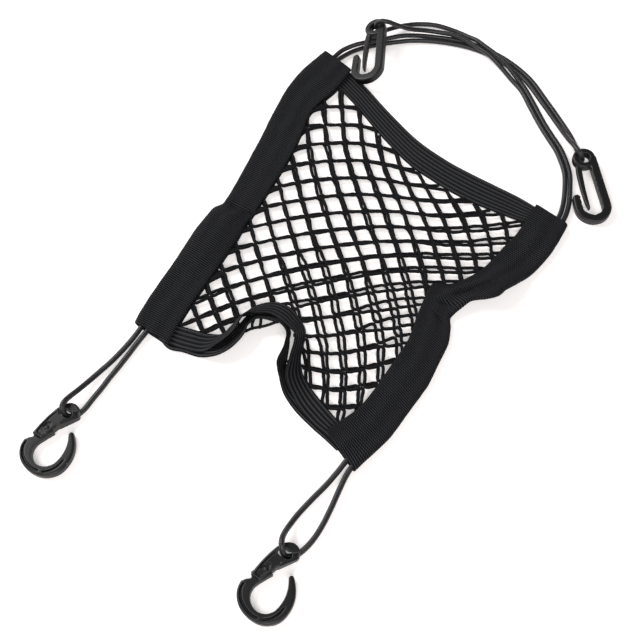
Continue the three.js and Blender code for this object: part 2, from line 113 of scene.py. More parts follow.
def four_round(points, t):
    """The four points round the place t in a list, and the share between the middle two."""
    last = len(points) - 1
    k = min(max(int(t), 0), last - 1)
    p1, p2 = points[k], points[k + 1]
    p0 = points[k - 1] if k else p1 * 2 - p2
    p3 = points[k + 2] if k + 2 <= last else p2 * 2 - p1
    return p0, p1, p2, p3, t - k


def on_curve(points, t):
    """A point on the smooth curve through some points, for t from 0 to 1."""
    p0, p1, p2, p3, w = four_round(points, t * (len(points) - 1))
    d0, d1, d2 = (max((b - a).length, 1e-6) ** 0.5 for a, b in ((p0, p1), (p1, p2), (p2, p3)))
    m1 = ((p1 - p0) / d0 - (p2 - p0) / (d0 + d1) + (p2 - p1) / d1) * d1
    m2 = ((p2 - p1) / d1 - (p3 - p1) / (d1 + d2) + (p3 - p2) / d2) * d1
    return between(p1, p2, m1, m2, w)


def line_length(line):
    return sum((b - a).length for a, b in zip(line, line[1:]))


def even_line(points, count, finer=12):
    """count + 1 points at even distances along the smooth curve through some points."""
    total = finer * (len(points) - 1)
    fine = [on_curve(points, k / total) for k in range(total + 1)]
    reach = [0.0]
    for a, b in zip(fine, fine[1:]):
        reach.append(reach[-1] + (b - a).length)
    line, k = [], 0
    for n in range(count + 1):
        want = reach[-1] * n / count
        while k < total - 1 and reach[k + 1] < want:
            k += 1
        part = (want - reach[k]) / max(reach[k + 1] - reach[k], 1e-9)
        line.append(fine[k].lerp(fine[k + 1], min(max(part, 0), 1)))
    return line


def row_at(rows, t):
    """The row of a table at t from 0 to 1, with every column on a smooth curve."""
    last = len(rows) - 1
    k = min(max(int(t * last), 0), last - 1)
    before, a, b, after = (rows[min(max(k + n, 0), last)] for n in (-1, 0, 1, 2))
    return {name: between(a[name], b[name], (b[name] - before[name]) / 2,
                          (after[name] - a[name]) / 2, t * last - k) for name in a}


def smoothstep(value, low, high):
    x = min(max((value - low) / (high - low), 0.0), 1.0)
    return x * x * (3 - 2 * x)


# ---- Sizes ----

# How thick the webbing, the elastics and the cords are, as in the CAD part.
WEBBING = 1.2
LAYER = 1.0
TOP_ELASTIC = 1.6
CORD = 4.0

# Heights of the middle of each layer in the sleeves, and how far it settles between them.
BACK_LEVEL = 2.25
FRONT_LEVEL = 3.65
TOP_LEVEL = 2.95
SETTLE = 1.75
TOP_SETTLE = 1.85
OFF_TABLE = 0.16

# How far the net runs into the sleeves, and its gap to an elastic's edge.
NET_INSET = 5
NET_GAP = 0.6

# Pitch of the webbing's ribs, the elastics' ridges and the cords' braid, and its yarns each way.
RIB = 1.65
RIDGE = 3.2
BRAID = 1.9
BRAID_YARNS = 8

# ---- Where the cloth's edges lie ----

# A sleeve's rows run downwards; "gap" is the room between its two layers.
SLEEVE_COLUMNS = "outer_x outer_y inner_x inner_y gap"
LEFT_SLEEVE = table(SLEEVE_COLUMNS, [
    (-139, 190, -107, 185, 4.8), (-142, 163, -106, 161, 4.6), (-141, 139, -109, 131, 3.4),
    (-135, 112, -102.5, 107.5, 3.4), (-127, 83, -95.3, 81.3, 3.4), (-118, 47, -89.3, 47, 3.4),
    (-111, 15, -84.3, 14.3, 3.4), (-113, 3, -82.3, 1.3, 3.4), (-112, -11, -79.3, -12.7, 3.4),
    (-108, -44, -75.8, -46.7, 3.8), (-105, -70, -73, -73, 4.0), (-101, -95, -69, -96, 4.7),
    (-97, -111, -65, -111, 4.8),
])

RIGHT_SLEEVE = table(SLEEVE_COLUMNS, [
    (122, 151, 93, 153, 4.8), (124, 127, 94, 121, 4.6), (123, 107, 92, 104, 3.8),
    (119, 86, 90, 83, 4.2), (113, 66, 86, 67, 4.2), (103, 53, 77, 53, 3.8), (94, 44, 66, 46, 3.4),
    (91, 33, 65, 39, 3.4), (95, 22, 68, 24, 3.4), (101, 9, 71, 12, 3.4), (104, -9, 76, -7, 3.4),
    (107, -29, 77, -25, 3.4), (107, -59, 78, -55, 3.2), (107, -77, 77, -73, 4.0),
    (104, -95, 72, -90, 4.6), (101, -112, 69, -100, 4.8),
])

# An elastic's rows run to the right; "rise" is how far its free edge stands above the other.
ELASTIC_COLUMNS = "net_x net_y free_x free_y rise"
TOP_EDGE = table(ELASTIC_COLUMNS, [
    (-114, 166, -117, 184, 0), (-101, 163, -104, 184, 0), (-84, 158, -88, 180, 0),
    (-50, 144, -56, 168, 0), (-14, 132, -21, 157, 0), (10, 129, 10, 153, 0), (31, 128, 33, 153, 0),
    (51, 129, 55, 154, 0), (77, 133, 79, 155, 0), (92, 135, 93, 153, 0), (103, 135, 103, 151, 0),
])

FRONT_EDGE = table(ELASTIC_COLUMNS, [
    (-78, -97, -75, -109.5, 0), (-69, -94, -65, -110, 0), (-57, -90, -53, -107, 0),
    (-47, -86, -41, -101, 1), (-39, -80, -33.5, -92, 9.5), (-38, -72, -29.5, -79, 12.5),
    (-37, -61, -30.5, -63.5, 15.2), (-33, -46, -25.7, -56.9, 11), (-24, -36, -17.9, -50, 8.5),
    (-13, -33, -9, -49.4, 8.5), (-2, -36, -2.7, -50.5, 9.5), (8.1, -41.3, 3.6, -52.5, 12),
    (13.4, -49, 8.8, -55.2, 14.5), (17.1, -58.2, 13, -61.9, 15.5), (22.4, -66.3, 16.5, -71.5, 14),
    (31, -74, 23, -85.5, 11), (45, -80, 40, -95.5, 4), (60, -85, 57, -100, 0),
    (73, -89, 70, -101.5, 0), (84, -93, 81, -104, 0),
])

BACK_EDGE = table(ELASTIC_COLUMNS, [
    (-79, -99, -77, -109.5, 0), (-69, -97, -64, -113, 0), (-58, -93, -53, -109, 0),
    (-47, -90, -41, -105, 0), (-38, -88, -29.6, -99.7, 8), (-36, -78.5, -24.1, -91.2, 10.5),
    (-35, -70.5, -21.7, -81.5, 12.5), (-34.5, -63.5, -22.2, -73.1, 13),
    (-34.3, -57.8, -24.2, -68.1, 12.5), (-32.8, -51.3, -22.8, -60.4, 12),
    (-27.5, -47.5, -19, -56.8, 11.5), (-20.5, -44, -12.1, -54.3, 11.5),
    (-12.3, -43, -6.1, -52.6, 12), (-4.8, -45.1, -0.3, -54.3, 12.5), (0.8, -49.8, 3.2, -57.2, 13),
    (3.1, -54.4, 5.7, -61.6, 13.5), (6.7, -59.7, 8.3, -68.4, 14), (11.4, -68.1, 10.7, -78.8, 14.5),
    (15.4, -75.4, 14.4, -83.5, 13.5), (22.9, -81.6, 18.2, -87, 12), (32, -84, 28, -95, 8),
    (45, -85, 41, -99.5, 2), (60, -88, 57, -102.5, 0), (73, -92, 71, -104.5, 0),
    (84, -96, 82, -106.5, 0),
])

# Soft swellings: middle, reach along and across, the turn of "along" from +X in degrees, height.
SWELLING_COLUMNS = "x y along across turn height"

# Where the cloth stands off the table.
LIFTS = table(SWELLING_COLUMNS, [(-98, -19, 46, 32, 97, 6), (109, 60, 42, 31, 56, 10.5)])

# Strands of the back layer that hang across the arch of its elastic.
HANGING_STRANDS = [
    [(-22.5, -72.7, 12.5), (-21.3, -66.3, 9), (-18.3, -62.4, 8), (-14.3, -57.5, 8),
     (-9.1, -52.3, 11)],
    [(-24, -60.8, 11.5), (-23.3, -63.8, 10), (-21.5, -66.5, 9)],
    [(-20.3, -57.2, 11), (-19, -59.5, 9), (-18, -62.1, 8)],
]

# ---- Routes of the cords ----
# Each runs from inside a sleeve, through a hook's eye and back into the sleeve.

UPPER_RIGHT_ROUTE = [
    (117, 143, 3.6), (117, 152, 3.6), (115.8, 161, 3.1), (112.5, 172, 2.3), (106, 185.9, 2.2),
    (98.8, 198.5, 2.2), (89, 209.4, 2.2), (79.7, 217.4, 2.2), (68.9, 224.3, 2.2),
    (55.7, 233.1, 2.2), (40.6, 244.7, 2.2), (25, 256.2, 2.2), (16, 261, 2.8), (6, 265.5, 4.6),
    (-3, 269, 6.4), (-14, 272.2, 6.7), (-29, 275.5, 6.7), (-37, 277.4, 6.3), (-45, 278.8, 4.2),
    (-60, 279.5, 2.3), (-78, 275.5, 2.3), (-92, 266.5, 2.8), (-101, 255, 4.6), (-107, 244, 6.2),
    (-109.7, 237.4, 7.4), (-110.4, 233.3, 9.6), (-110.7, 231.6, 13), (-111.9, 230.3, 17.6),
    (-111.7, 230.2, 21.4), (-108.6, 232, 24.3), (-103.6, 235, 24), (-97, 241, 18.8),
    (-89, 250.5, 11.6), (-80, 260.5, 7), (-70, 267, 5.4), (-56, 270.8, 6.7), (-39, 271, 6.7),
    (-20, 268.6, 6.8), (-4, 263.5, 5.2), (8.5, 259, 3), (22.4, 253.2, 2.2), (38, 241.3, 2.2),
    (53.3, 229.7, 2.2), (66.7, 220.7, 2.2), (77.1, 214, 2.2), (86, 206.4, 2.2), (95.4, 196.1, 2.2),
    (102.2, 184.1, 2.2), (108.2, 170.8, 2.3), (111.6, 159.7, 3.1), (112.7, 151.5, 3.6),
    (112.5, 143, 3.6),
]
UPPER_LEFT_ROUTE = [
    (-124, 180, 3.6), (-124.3, 189, 3.6), (-122.7, 198, 3.1), (-119, 209, 2.3), (-113, 218.5, 2.2),
    (-107, 226, 2.2), (-100, 233.5, 2.2), (-93, 240.5, 2.2), (-86, 247, 2.2), (-70, 257.5, 2.2),
    (-53, 265.5, 2.2), (-37, 270.5, 2.2), (-19, 272.5, 2.2), (1, 270.5, 2.2), (21.3, 264.5, 2.2),
    (43.5, 251.9, 2.2), (64.9, 238.9, 2.4), (76.4, 229.9, 5.4), (84, 222, 10.6),
    (90.5, 216.5, 14.2), (97.2, 212.6, 14.3), (101, 212, 10.2), (101, 213.2, 5.4),
    (99.6, 215.2, 3.2), (97, 218, 2.2), (91, 224.5, 2.2), (82, 232.5, 2.2), (68, 241.8, 2.2),
    (45.5, 255.5, 2.2), (23, 268.4, 2.2), (1.5, 275, 2.2), (-19, 277, 2.2), (-38.5, 275.2, 2.2),
    (-55.5, 270, 2.2), (-72.5, 261.8, 2.6), (-86, 251.4, 4.8), (-94, 243, 6.4), (-101, 234.5, 6.6),
    (-108, 226.5, 6.6), (-114.5, 219, 6.5), (-121.3, 210.5, 6), (-127.1, 200, 4.7),
    (-128.8, 190, 3.6), (-128.9, 180, 3.6),
]
LOWER_LEFT_ROUTE = [
    (-91.5, -102, 3.6), (-90.8, -110, 3.6), (-90, -118, 3.3), (-89.9, -127, 2.5),
    (-90.3, -142.6, 2.2), (-91.9, -157.9, 2.6), (-92.7, -170, 4.2), (-92.8, -177.5, 6.4),
    (-92.5, -184, 9.4), (-91.9, -189, 11.7), (-91.1, -192.5, 12.3), (-90, -194.4, 11.3),
    (-88.8, -195.6, 9), (-87.4, -196, 6.3), (-85.6, -195.2, 3.8), (-83.4, -192.6, 2.5),
    (-81.7, -189.3, 2.2), (-80.9, -184, 2.2), (-81.5, -175, 2.2), (-81.9, -165.5, 2.2),
    (-82.8, -155.2, 2.2), (-83.2, -145.9, 2.2), (-83.9, -136, 2.2), (-84.8, -123.2, 2.8),
    (-85, -115, 3.5), (-85.5, -102, 3.6),
]
LOWER_RIGHT_ROUTE = [
    (93.2, -101, 3.6), (92, -110, 3.6), (91.6, -119, 3), (90.5, -131, 2.2), (88.5, -145, 2.2),
    (87, -159, 2.4), (87.2, -168, 4), (88.3, -175, 8), (90, -179.8, 11.2), (91.8, -182.7, 12.2),
    (93.5, -184.5, 11.4), (95, -186, 9), (96.4, -186.5, 6.3), (98.2, -185.8, 3.8),
    (100.6, -183.4, 2.5), (102.8, -180.2, 2.2), (104.7, -173, 2.2), (105.3, -164, 2.2),
    (104.5, -154, 2.2), (102.5, -142, 2.2), (99.8, -129, 2.2), (97.9, -118, 3), (97.6, -111, 3.6),
    (98.6, -101.5, 3.6),
]

# ---- Lines of the cloth ----


def swell(rows, x, y, height=0.0):
    """A height with soft swellings added to it."""
    for row in rows:
        turn = math.radians(row["turn"])
        dx, dy = x - row["x"], y - row["y"]
        along = (dx * math.cos(turn) + dy * math.sin(turn)) / row["along"]
        across = (dy * math.cos(turn) - dx * math.sin(turn)) / row["across"]
        height += row["height"] * (1 - min(along**2 + across**2, 1)) ** 2
    return height


def lift(x, y):
    """Height of the cloth above where it would lie flat."""
    return swell(LIFTS, x, y)


# The shares of the cloth's width between which it comes down from the sleeves to the table.
DOWN_FROM, DOWN_AT = 0.08, 0.2


def settled(part):
    """0 in the sleeves and 1 where the cloth between them has come down to the table."""
    return smoothstep(min(part, 1 - part), DOWN_FROM, DOWN_AT)


def elastic_line(rows, level, settle, part, count):
    """Points along an elastic, part of the way from its net edge (0) to its free edge (1)."""
    line = []
    for n in range(count + 1):
        row = row_at(rows, n / count)
        base = level - settle * settled(n / count)
        net = Vector((row["net_x"], row["net_y"], base + lift(row["net_x"], row["net_y"])))
        free = Vector((row["free_x"], row["free_y"],
                       base + row["rise"] + lift(row["free_x"], row["free_y"])))
        line.append(net.lerp(free, part))
    return line


def net_edge(rows, side):
    """The line in plan that a net ends on, just clear of an elastic's edge."""
    count = 3 * (len(rows) - 1)
    stations = [row_at(rows, n / count) for n in range(count + 1)]
    net = [Vector((row["net_x"], row["net_y"], 0)) for row in stations]
    edge = []
    for n, point in enumerate(net):
        along = net[min(n + 1, count)] - net[max(n - 1, 0)]
        edge.append(point + Vector((-along.y, along.x, 0)).normalized() * NET_GAP * side)
    return edge


def sleeve_edge(rows, top, bottom):
    """The line in plan that a net ends on inside a sleeve."""
    inset = []
    for row in rows[2:-2]:
        inner = Vector((row["inner_x"], row["inner_y"], 0))
        outwards = Vector((row["outer_x"], row["outer_y"], 0)) - inner
        inset.append(inner + outwards.normalized() * NET_INSET)
    return [top, *inset, bottom]


# ---- Finishes ----


class Finish:
    """A material, and short ways to add its nodes.  Sizes are in millimetres."""

    def __init__(self, name, colour, roughness, **sockets):
        self.material = bpy.data.materials.new(name)
        self.material.use_nodes = True
        self.tree = self.material.node_tree
        self.shader = self.tree.nodes["Principled BSDF"]
        self.shader.inputs["Base Color"].default_value = (*colour, 1)
        self.shader.inputs["Roughness"].default_value = roughness
        for socket, value in sockets.items():
            self.shader.inputs[socket.replace("_", " ")].default_value = value

    def node(self, kind, settings=None, **inputs):
        return add_node(self.tree, "ShaderNode" + kind, settings, inputs)

    def give(self, source, socket):
        self.tree.links.new(source, self.shader.inputs[socket])

    def maths(self, operation, *values):
        node = self.tree.nodes.new("ShaderNodeMath")
        node.operation = operation
        for value, socket in zip(values, node.inputs):
            if isinstance(value, (int, float)):
                socket.default_value = value
            else:
                self.tree.links.new(value, socket)
        return node.outputs[0]

    def blend(self, *shares):
        """The sum of some heights, each times its share."""
        total = None
        for height, share in shares:
            part = self.maths("MULTIPLY", height, share)
            total = part if total is None else self.maths("ADD", total, part)
        return total

    def on_cloth(self):
        """The place on the cloth, across and along it."""
        parts = self.node("SeparateXYZ", Vector=self.node("UVMap", {"uv_map": "cloth"})["UV"])
        return parts["X"], parts["Y"]

    def waves(self, place, pitch):
        """Rises and falls between 0 and 1 once in every pitch."""
        turns = self.maths("MULTIPLY", place, 2 * math.pi / pitch)
        return self.maths("MULTIPLY_ADD", self.maths("SINE", turns), 0.5)

    def grain(self, size, detail=2.0):
        """Fine unevenness with grains of a size."""
        place = self.node("TexCoord")["Object"]
        return self.node("TexNoise", Vector=place, Scale=1 / (size * MM), Detail=detail)["Fac"]

    def colours(self, value, dark, light, low=0.0, high=1.0):
        """Base colour from dark to light as the value goes from low to high."""
        ramp = self.tree.nodes.new("ShaderNodeValToRGB")
        for stop, place, colour in zip(ramp.color_ramp.elements, (low, high), (dark, light)):
            stop.position = place
            stop.color = (*colour, 1)
        self.tree.links.new(value, ramp.inputs["Fac"])
        self.give(ramp.outputs["Color"], "Base Color")

    def surface(self, rough, low, high, height, depth):
        """Roughness from low to high with a value, bumps from a height, and the material."""
        spread = self.node("MapRange", Value=rough, To_Min=low, To_Max=high)["Result"]
        self.give(spread, "Roughness")
        bump = self.node("Bump", Strength=1.0, Distance=depth * MM, Height=height)["Normal"]
        self.give(bump, "Normal")
        return self.material


def webbing_finish():
    """Black webbing with fine ribs across it, its threads crossing in a twill."""
    f = Finish("webbing", (0.008, 0.008, 0.009), 0.8, Specular_IOR_Level=0.12)
    across, along = f.on_cloth()
    slant = f.maths("ADD", along, f.maths("MULTIPLY", across, 0.12))
    ribs = f.waves(slant, RIB)
    threads = f.waves(f.maths("ADD", across, f.maths("MULTIPLY", along, 0.6)), 1.5)
    woven = f.blend((ribs, 0.55), (threads, 0.25), (f.grain(0.9), 0.35))
    f.colours(woven, (0.0006, 0.0006, 0.0008), (0.040, 0.041, 0.046), 0.45, 1.0)
    return f.surface(f.grain(6), 0.68, 0.85, woven, 0.9)


def elastic_finish():
    """Black elastic with soft ridges along it, its rubber threads wound crosswise with yarn."""
    f = Finish("elastic", (0.009, 0.009, 0.010), 0.65, Specular_IOR_Level=0.18)
    across, along = f.on_cloth()
    ridges = f.waves(f.maths("ADD", across, -RIDGE / 4), RIDGE)
    picks = f.waves(along, 1.1)
    woven = f.blend((ridges, 0.6), (picks, 0.15), (f.grain(0.8), 0.35))
    f.colours(woven, (0.0005, 0.0005, 0.0007), (0.038, 0.039, 0.044), 0.42, 1.0)
    return f.surface(f.grain(5), 0.5, 0.7, woven, 0.7)


def net_finish():
    """Black knitted net yarn."""
    f = Finish("net_yarn", (0.006, 0.006, 0.007), 0.85, Specular_IOR_Level=0.12)
    fibres = f.blend((f.grain(0.5, 3), 0.7), (f.grain(1.6), 0.4))
    f.colours(fibres, (0.001, 0.001, 0.0015), (0.012, 0.012, 0.014), 0.3, 0.85)
    return f.surface(f.grain(3), 0.7, 0.9, fibres, 0.35)


def cord_finish():
    """Black elastic cord in a close braid: the yarns cross in two spirals."""
    f = Finish("braided_cord", (0.02, 0.02, 0.022), 0.4, Specular_IOR_Level=0.45)
    around, along = f.on_cloth()
    turn = f.maths("MULTIPLY", around, BRAID_YARNS * 2 * math.pi)
    climb = f.maths("MULTIPLY", along, 2 * math.pi / BRAID)
    one = f.maths("SINE", f.maths("ADD", turn, climb))
    other = f.maths("SINE", f.maths("SUBTRACT", turn, climb))
    braid = f.maths("MULTIPLY_ADD", f.maths("MULTIPLY", one, other), 0.5)
    woven = f.blend((braid, 0.75), (f.grain(0.4), 0.3))
    f.colours(woven, (0.0008, 0.0008, 0.0012), (0.026, 0.026, 0.031), 0.35, 0.95)
    return f.surface(f.grain(4), 0.3, 0.45, woven, 0.14)


def plastic_finish():
    """Black moulded plastic with a faint satin grain, and a painted highlight that makes its sharp
    edges a little lighter.
    """
    f = Finish("moulded_plastic", (0.006, 0.006, 0.006), 0.34, Specular_IOR_Level=0.36)
    satin = f.blend((f.grain(0.25), 0.7), (f.grain(5), 0.3))
    # Painted highlight: the colour turns lighter where the surface is pointy, at sharp edges,
    # standing in for the light that those edges catch.
    edge_highlight = f.node("NewGeometry")["Pointiness"]
    f.colours(edge_highlight, (0.002, 0.002, 0.0025), (0.085, 0.085, 0.087), 0.51, 0.60)
    return f.surface(satin, 0.34, 0.52, satin, 0.03)


def floor_finish():
    """A plain white floor that glows faintly: painted light that fills the shadows falling on it.
    """
    f = Finish("plain_floor", (0.93, 0.88, 0.865), 0.9, Specular_IOR_Level=0.1)
    f.colours(f.grain(90), (0.92, 0.87, 0.855), (0.94, 0.895, 0.88))
    # Painted light: the floor's faint glow lightens the shadows cast on it.
    f.shader.inputs["Emission Color"].default_value = (1, 0.985, 0.975, 1)
    f.shader.inputs["Emission Strength"].default_value = 0.32
    return f.material


WEBBING_FINISH = webbing_finish()
ELASTIC_FINISH = elastic_finish()
NET_FINISH = net_finish()
CORD_FINISH = cord_finish()
PLASTIC_FINISH = plastic_finish()

# ---- Meshes ----


def mesh_piece(name, points, faces, uvs=None, material=None):
    """A smooth mesh from points in millimetres, with a place in millimetres on the cloth for
    each corner of each face."""
    mesh = bpy.data.meshes.new(name)
    mesh.from_pydata([(p[0] * MM, p[1] * MM, p[2] * MM) for p in points], [], faces)
    if uvs:
        layer = mesh.uv_layers.new(name="cloth")
        layer.data.foreach_set("uv", [c for corners in uvs for uv in corners for c in uv])
    mesh.polygons.foreach_set("use_smooth", [True] * len(mesh.polygons))
    mesh.validate()
    return add_object(name, mesh, material)


# How far the closed end of a tube stands out.
TIP = 0.6


def tube(name, line, radius, sides, material):
    """A round cord along a line, closed at both ends; radius(distance, angle) in millimetres."""
    points, faces, uvs = [], [], []
    ahead = (line[1] - line[0]).normalized()
    side = ahead.orthogonal().normalized()
    distance = 0.0
    reach = []
    for k, centre in enumerate(line):
        if k:
            distance += (centre - line[k - 1]).length
        new = (line[min(k + 1, len(line) - 1)] - line[max(k - 1, 0)]).normalized()
        side = (side - new * side.dot(new)).normalized()
        up = new.cross(side)
        for n in range(sides):
            angle = 2 * math.pi * n / sides
            outwards = side * math.cos(angle) + up * math.sin(angle)
            points.append(centre + outwards * radius(distance, angle))
        reach.append(distance)
    for k in range(len(line) - 1):
        for n in range(sides):
            m = (n + 1) % sides
            faces.append((k * sides + n, k * sides + m, (k + 1) * sides + m, (k + 1) * sides + n))
            u0, u1 = n / sides, (n + 1) / sides
            uvs.append(((u0, reach[k]), (u1, reach[k]), (u1, reach[k + 1]), (u0, reach[k + 1])))
    for k, turn in ((0, -1), (len(line) - 1, 1)):
        points.append(line[k] + (line[k] - line[k - turn]).normalized() * TIP)
        for n in range(sides):
            ring = (k * sides + n, k * sides + (n + 1) % sides)
            faces.append((*(ring if turn > 0 else ring[::-1]), len(points) - 1))
            uvs.append(((0, reach[k]), (0, reach[k]), (0, reach[k])))
    return mesh_piece(name, points, faces, uvs, material)


def strip(name, sections, material):
    """A closed strip of cloth. A section is a list of (middle, facing, above, below, across):
    the cloth's middle, the way that its face looks, its thickness each way from the middle and
    the place across the cloth. Each section comes with its place along the cloth."""
    points, faces, uvs = [], [], []
    half = len(sections[0][1])
    around = 2 * half
    for _, section in sections:
        points += [m + f * above for m, f, above, _, _ in section]
        points += [m - f * below for m, f, _, below, _ in reversed(section)]
    across = [s[4] for s in sections[0][1]]
    place = across + across[::-1]
    for k in range(len(sections) - 1):
        a, b = sections[k][0], sections[k + 1][0]
        for n in range(around):
            m = (n + 1) % around
            faces.append((k * around + n, (k + 1) * around + n,
                          (k + 1) * around + m, k * around + m))
            uvs.append(((place[n], a), (place[n], b), (place[m], b), (place[m], a)))
    for k, turn in ((0, 1), (len(sections) - 1, -1)):
        for n in range(half - 1):
            corners = [k * around + c for c in (n, n + 1, around - 2 - n, around - 1 - n)]
            faces.append(tuple(corners[::turn]))
            uvs.append(((place[n], sections[k][0]),) * 4)
    piece = mesh_piece(name, points, faces, uvs, material)
    make_outward(piece.data)
    return piece


def make_outward(mesh):
    shape = bmesh.new()
    shape.from_mesh(mesh)
    bmesh.ops.recalc_face_normals(shape, faces=shape.faces)
    if shape.calc_volume(signed=True) < 0:
        bmesh.ops.reverse_faces(shape, faces=shape.faces)
    shape.to_mesh(mesh)
    shape.free()


def finished(piece, *nodes, slot):
    """Hangs a piece under the root body and hides the CAD nodes that it stands for; the slot is
    not used.
    """
    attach(piece, "root")
    if nodes:
        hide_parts(*nodes)

# ---- Cords ----

# How far the yarns stand out as a share of the radius, and the spacing of a cord's sections.
BRAID_RELIEF = 0.018
CORD_STEP = 0.6


def braid(distance, angle):
    """A cord's radius at a place along and round it, where the yarns cross in two spirals."""
    climb = 2 * math.pi * distance / BRAID
    crossing = math.sin(BRAID_YARNS * angle + climb) * math.sin(BRAID_YARNS * angle - climb)
    return CORD / 2 * (1 + BRAID_RELIEF * crossing)


def add_cord(name, route):
    """A braided elastic cord from inside a sleeve, round a hook's eye and back into the sleeve."""
    points = [Vector(p) for p in route]
    length = line_length([on_curve(points, k / 400) for k in range(401)])
    line = even_line(points, int(length / CORD_STEP))
    piece = tube("braided_" + name, line, braid, 24, CORD_FINISH)
    finished(piece, name, slot="cord")


add_cord("cord_upper_right", UPPER_RIGHT_ROUTE)
add_cord("cord_upper_left", UPPER_LEFT_ROUTE)
add_cord("cord_lower_left", LOWER_LEFT_ROUTE)
add_cord("cord_lower_right", LOWER_RIGHT_ROUTE)

# ---- Sleeves and elastics ----

# Soft creases and swellings of the sleeves' upper layer.
CREASES = table(SWELLING_COLUMNS, [
    (-96, 15, 26, 4, 10, -2.4), (-97, 3, 24, 9, 8, 1.6), (-104, -40, 50, 12, 98, 1.2),
    (-122, 85, 60, 9, 72, 0.8), (-92, -85, 24, 7, 80, -0.8), (82, 46, 22, 2.6, 38, -2.6),
    (88, 55, 26, 3.2, 48, 2.0), (94, 57, 24, 2.4, 50, -2.4), (100, 60, 22, 3.0, 56, 1.6),
    (108, 78, 24, 5, 70, 1.2), (84, 36, 16, 2.6, 8, -2.4), (78, 42, 14, 3, 60, 1.8),
    (90, 28, 16, 3, -10, 1.8), (86, 22, 14, 2.4, -20, -1.6), (110, 100, 22, 3, 80, -1.2),
    (100, 112, 20, 4, 60, 1.0), (92, -30, 60, 8, 88, 0.9), (86, -85, 24, 6, 100, -0.7),
    (108, 125, 26, 7, 92, 0.8),
])

# Places where a sleeve's outer edge bulges outwards: middle, reach and how far.
BULGES = table("x y reach out", [
    (95, 40, 13, 2.4), (108, 54, 16, 4.2), (99, 38, 4, 0.7), (92, 26, 6, -1.4),
    (-112, 9, 8, -1.0),
])


def creased(x, y):
    """How far the upper layer of a sleeve stands above its even surface."""
    return swell(CREASES, x, y, 0.35 * noise.noise(Vector((x, y, 3.0)) * 0.05))


def bulge(x, y):
    """How far a sleeve's outer edge stands out."""
    out = 0.25 * noise.noise(Vector((x, y, 8.0)) * 0.12)
    for place in BULGES:
        away = ((x - place["x"]) ** 2 + (y - place["y"]) ** 2) / place["reach"] ** 2
        out += place["out"] * (1 - min(away, 1)) ** 2
    return out


# A sleeve's section: the steps across each layer and round its fold, how far its cut edges run
# past the width, how high a rib stands, how much thicker the middle is than the selvedge, how far
# from the fold the creases are at their full height, and the rounding of the upper edge.
FLAT_STEPS = 13
FOLD_STEPS = 12
CUT_EDGE = 0.35
RIB_RELIEF = 0.09
SELVEDGE = 0.12
CREASE_START = 7
EDGE_REACH, EDGE_DROP = 3.5, 0.5


def sleeve_section(row, distance):
    """The webbing folded round a sleeve's outer edge, with its ribs."""
    outer = Vector((row["outer_x"], row["outer_y"], 0))
    inner = Vector((row["inner_x"], row["inner_y"], 0))
    outer += (outer - inner).normalized() * bulge(outer.x, outer.y)
    width = (inner - outer).length
    inwards = (inner - outer) / width
    bend = (row["gap"] + WEBBING) / 2
    centre = bend + WEBBING / 2
    rib = RIB_RELIEF * math.sin(2 * math.pi * distance / RIB)
    half = WEBBING / 2
    flat = [n / FLAT_STEPS for n in range(FLAT_STEPS, 0, -1)]
    profile = [(width + CUT_EDGE, half, 0, -1, 0.5)]
    profile += [(centre + (width - centre) * part, half, 0, -1, 1) for part in flat]
    for n in range(FOLD_STEPS + 1):
        angle = -math.pi / 2 - math.pi * n / FOLD_STEPS
        profile.append((centre + bend * math.cos(angle), centre + bend * math.sin(angle),
                        math.cos(angle), math.sin(angle), 1))
    profile += [(centre + (width - centre) * part, centre + bend, 0, 1, 1)
                for part in reversed(flat)]
    profile.append((width + CUT_EDGE, centre + bend, 0, 1, 0.5))
    section = []
    across = 0.0
    before = None
    for inward, up, face_in, face_up, full in profile:
        if before:
            across += math.hypot(inward - before[0], up - before[1])
        before = (inward, up)
        x, y = outer.x + inwards.x * inward, outer.y + inwards.y * inward
        if face_up > 0.5:
            up += smoothstep(inward, 0, centre + CREASE_START) * creased(x, y)
            up -= EDGE_DROP * smoothstep(inward, width - EDGE_REACH, width)
        middle = Vector((x, y, up + OFF_TABLE + lift(x, y)))
        facing = Vector((inwards.x * face_in, inwards.y * face_in, face_up))
        outside = half * full * (1 + SELVEDGE * smoothstep(across, 0, 1)) + rib * full
        section.append((middle, facing, outside, half * full, across))
    return section


def add_sleeve(name, rows):
    """A sleeve of ribbed webbing, with four sections to a rib."""
    count = 4 * int(outer_length(rows) / RIB)
    sections, distance, last = [], 0.0, None
    for n in range(count + 1):
        row = row_at(rows, n / count)
        place = Vector(((row["outer_x"] + row["inner_x"]) / 2,
                        (row["outer_y"] + row["inner_y"]) / 2, 0))
        if last is not None:
            distance += (place - last).length
        last = place
        sections.append((distance, sleeve_section(row, distance)))
    piece = strip("webbing_" + name, sections, WEBBING_FINISH)
    finished(piece, name, slot="webbing")


def outer_length(rows):
    """The length of a sleeve's outer edge."""
    count = 100
    line = [row_at(rows, n / count) for n in range(count + 1)]
    return sum(math.hypot(b["outer_x"] - a["outer_x"], b["outer_y"] - a["outer_y"])
               for a, b in zip(line, line[1:]))


# The steps across a ridge, how square it is, and the share of its height that is its mean.
RIDGE_STEPS = 6
RIDGE_ROUNDNESS = 0.7
MEAN_RISE = 0.6


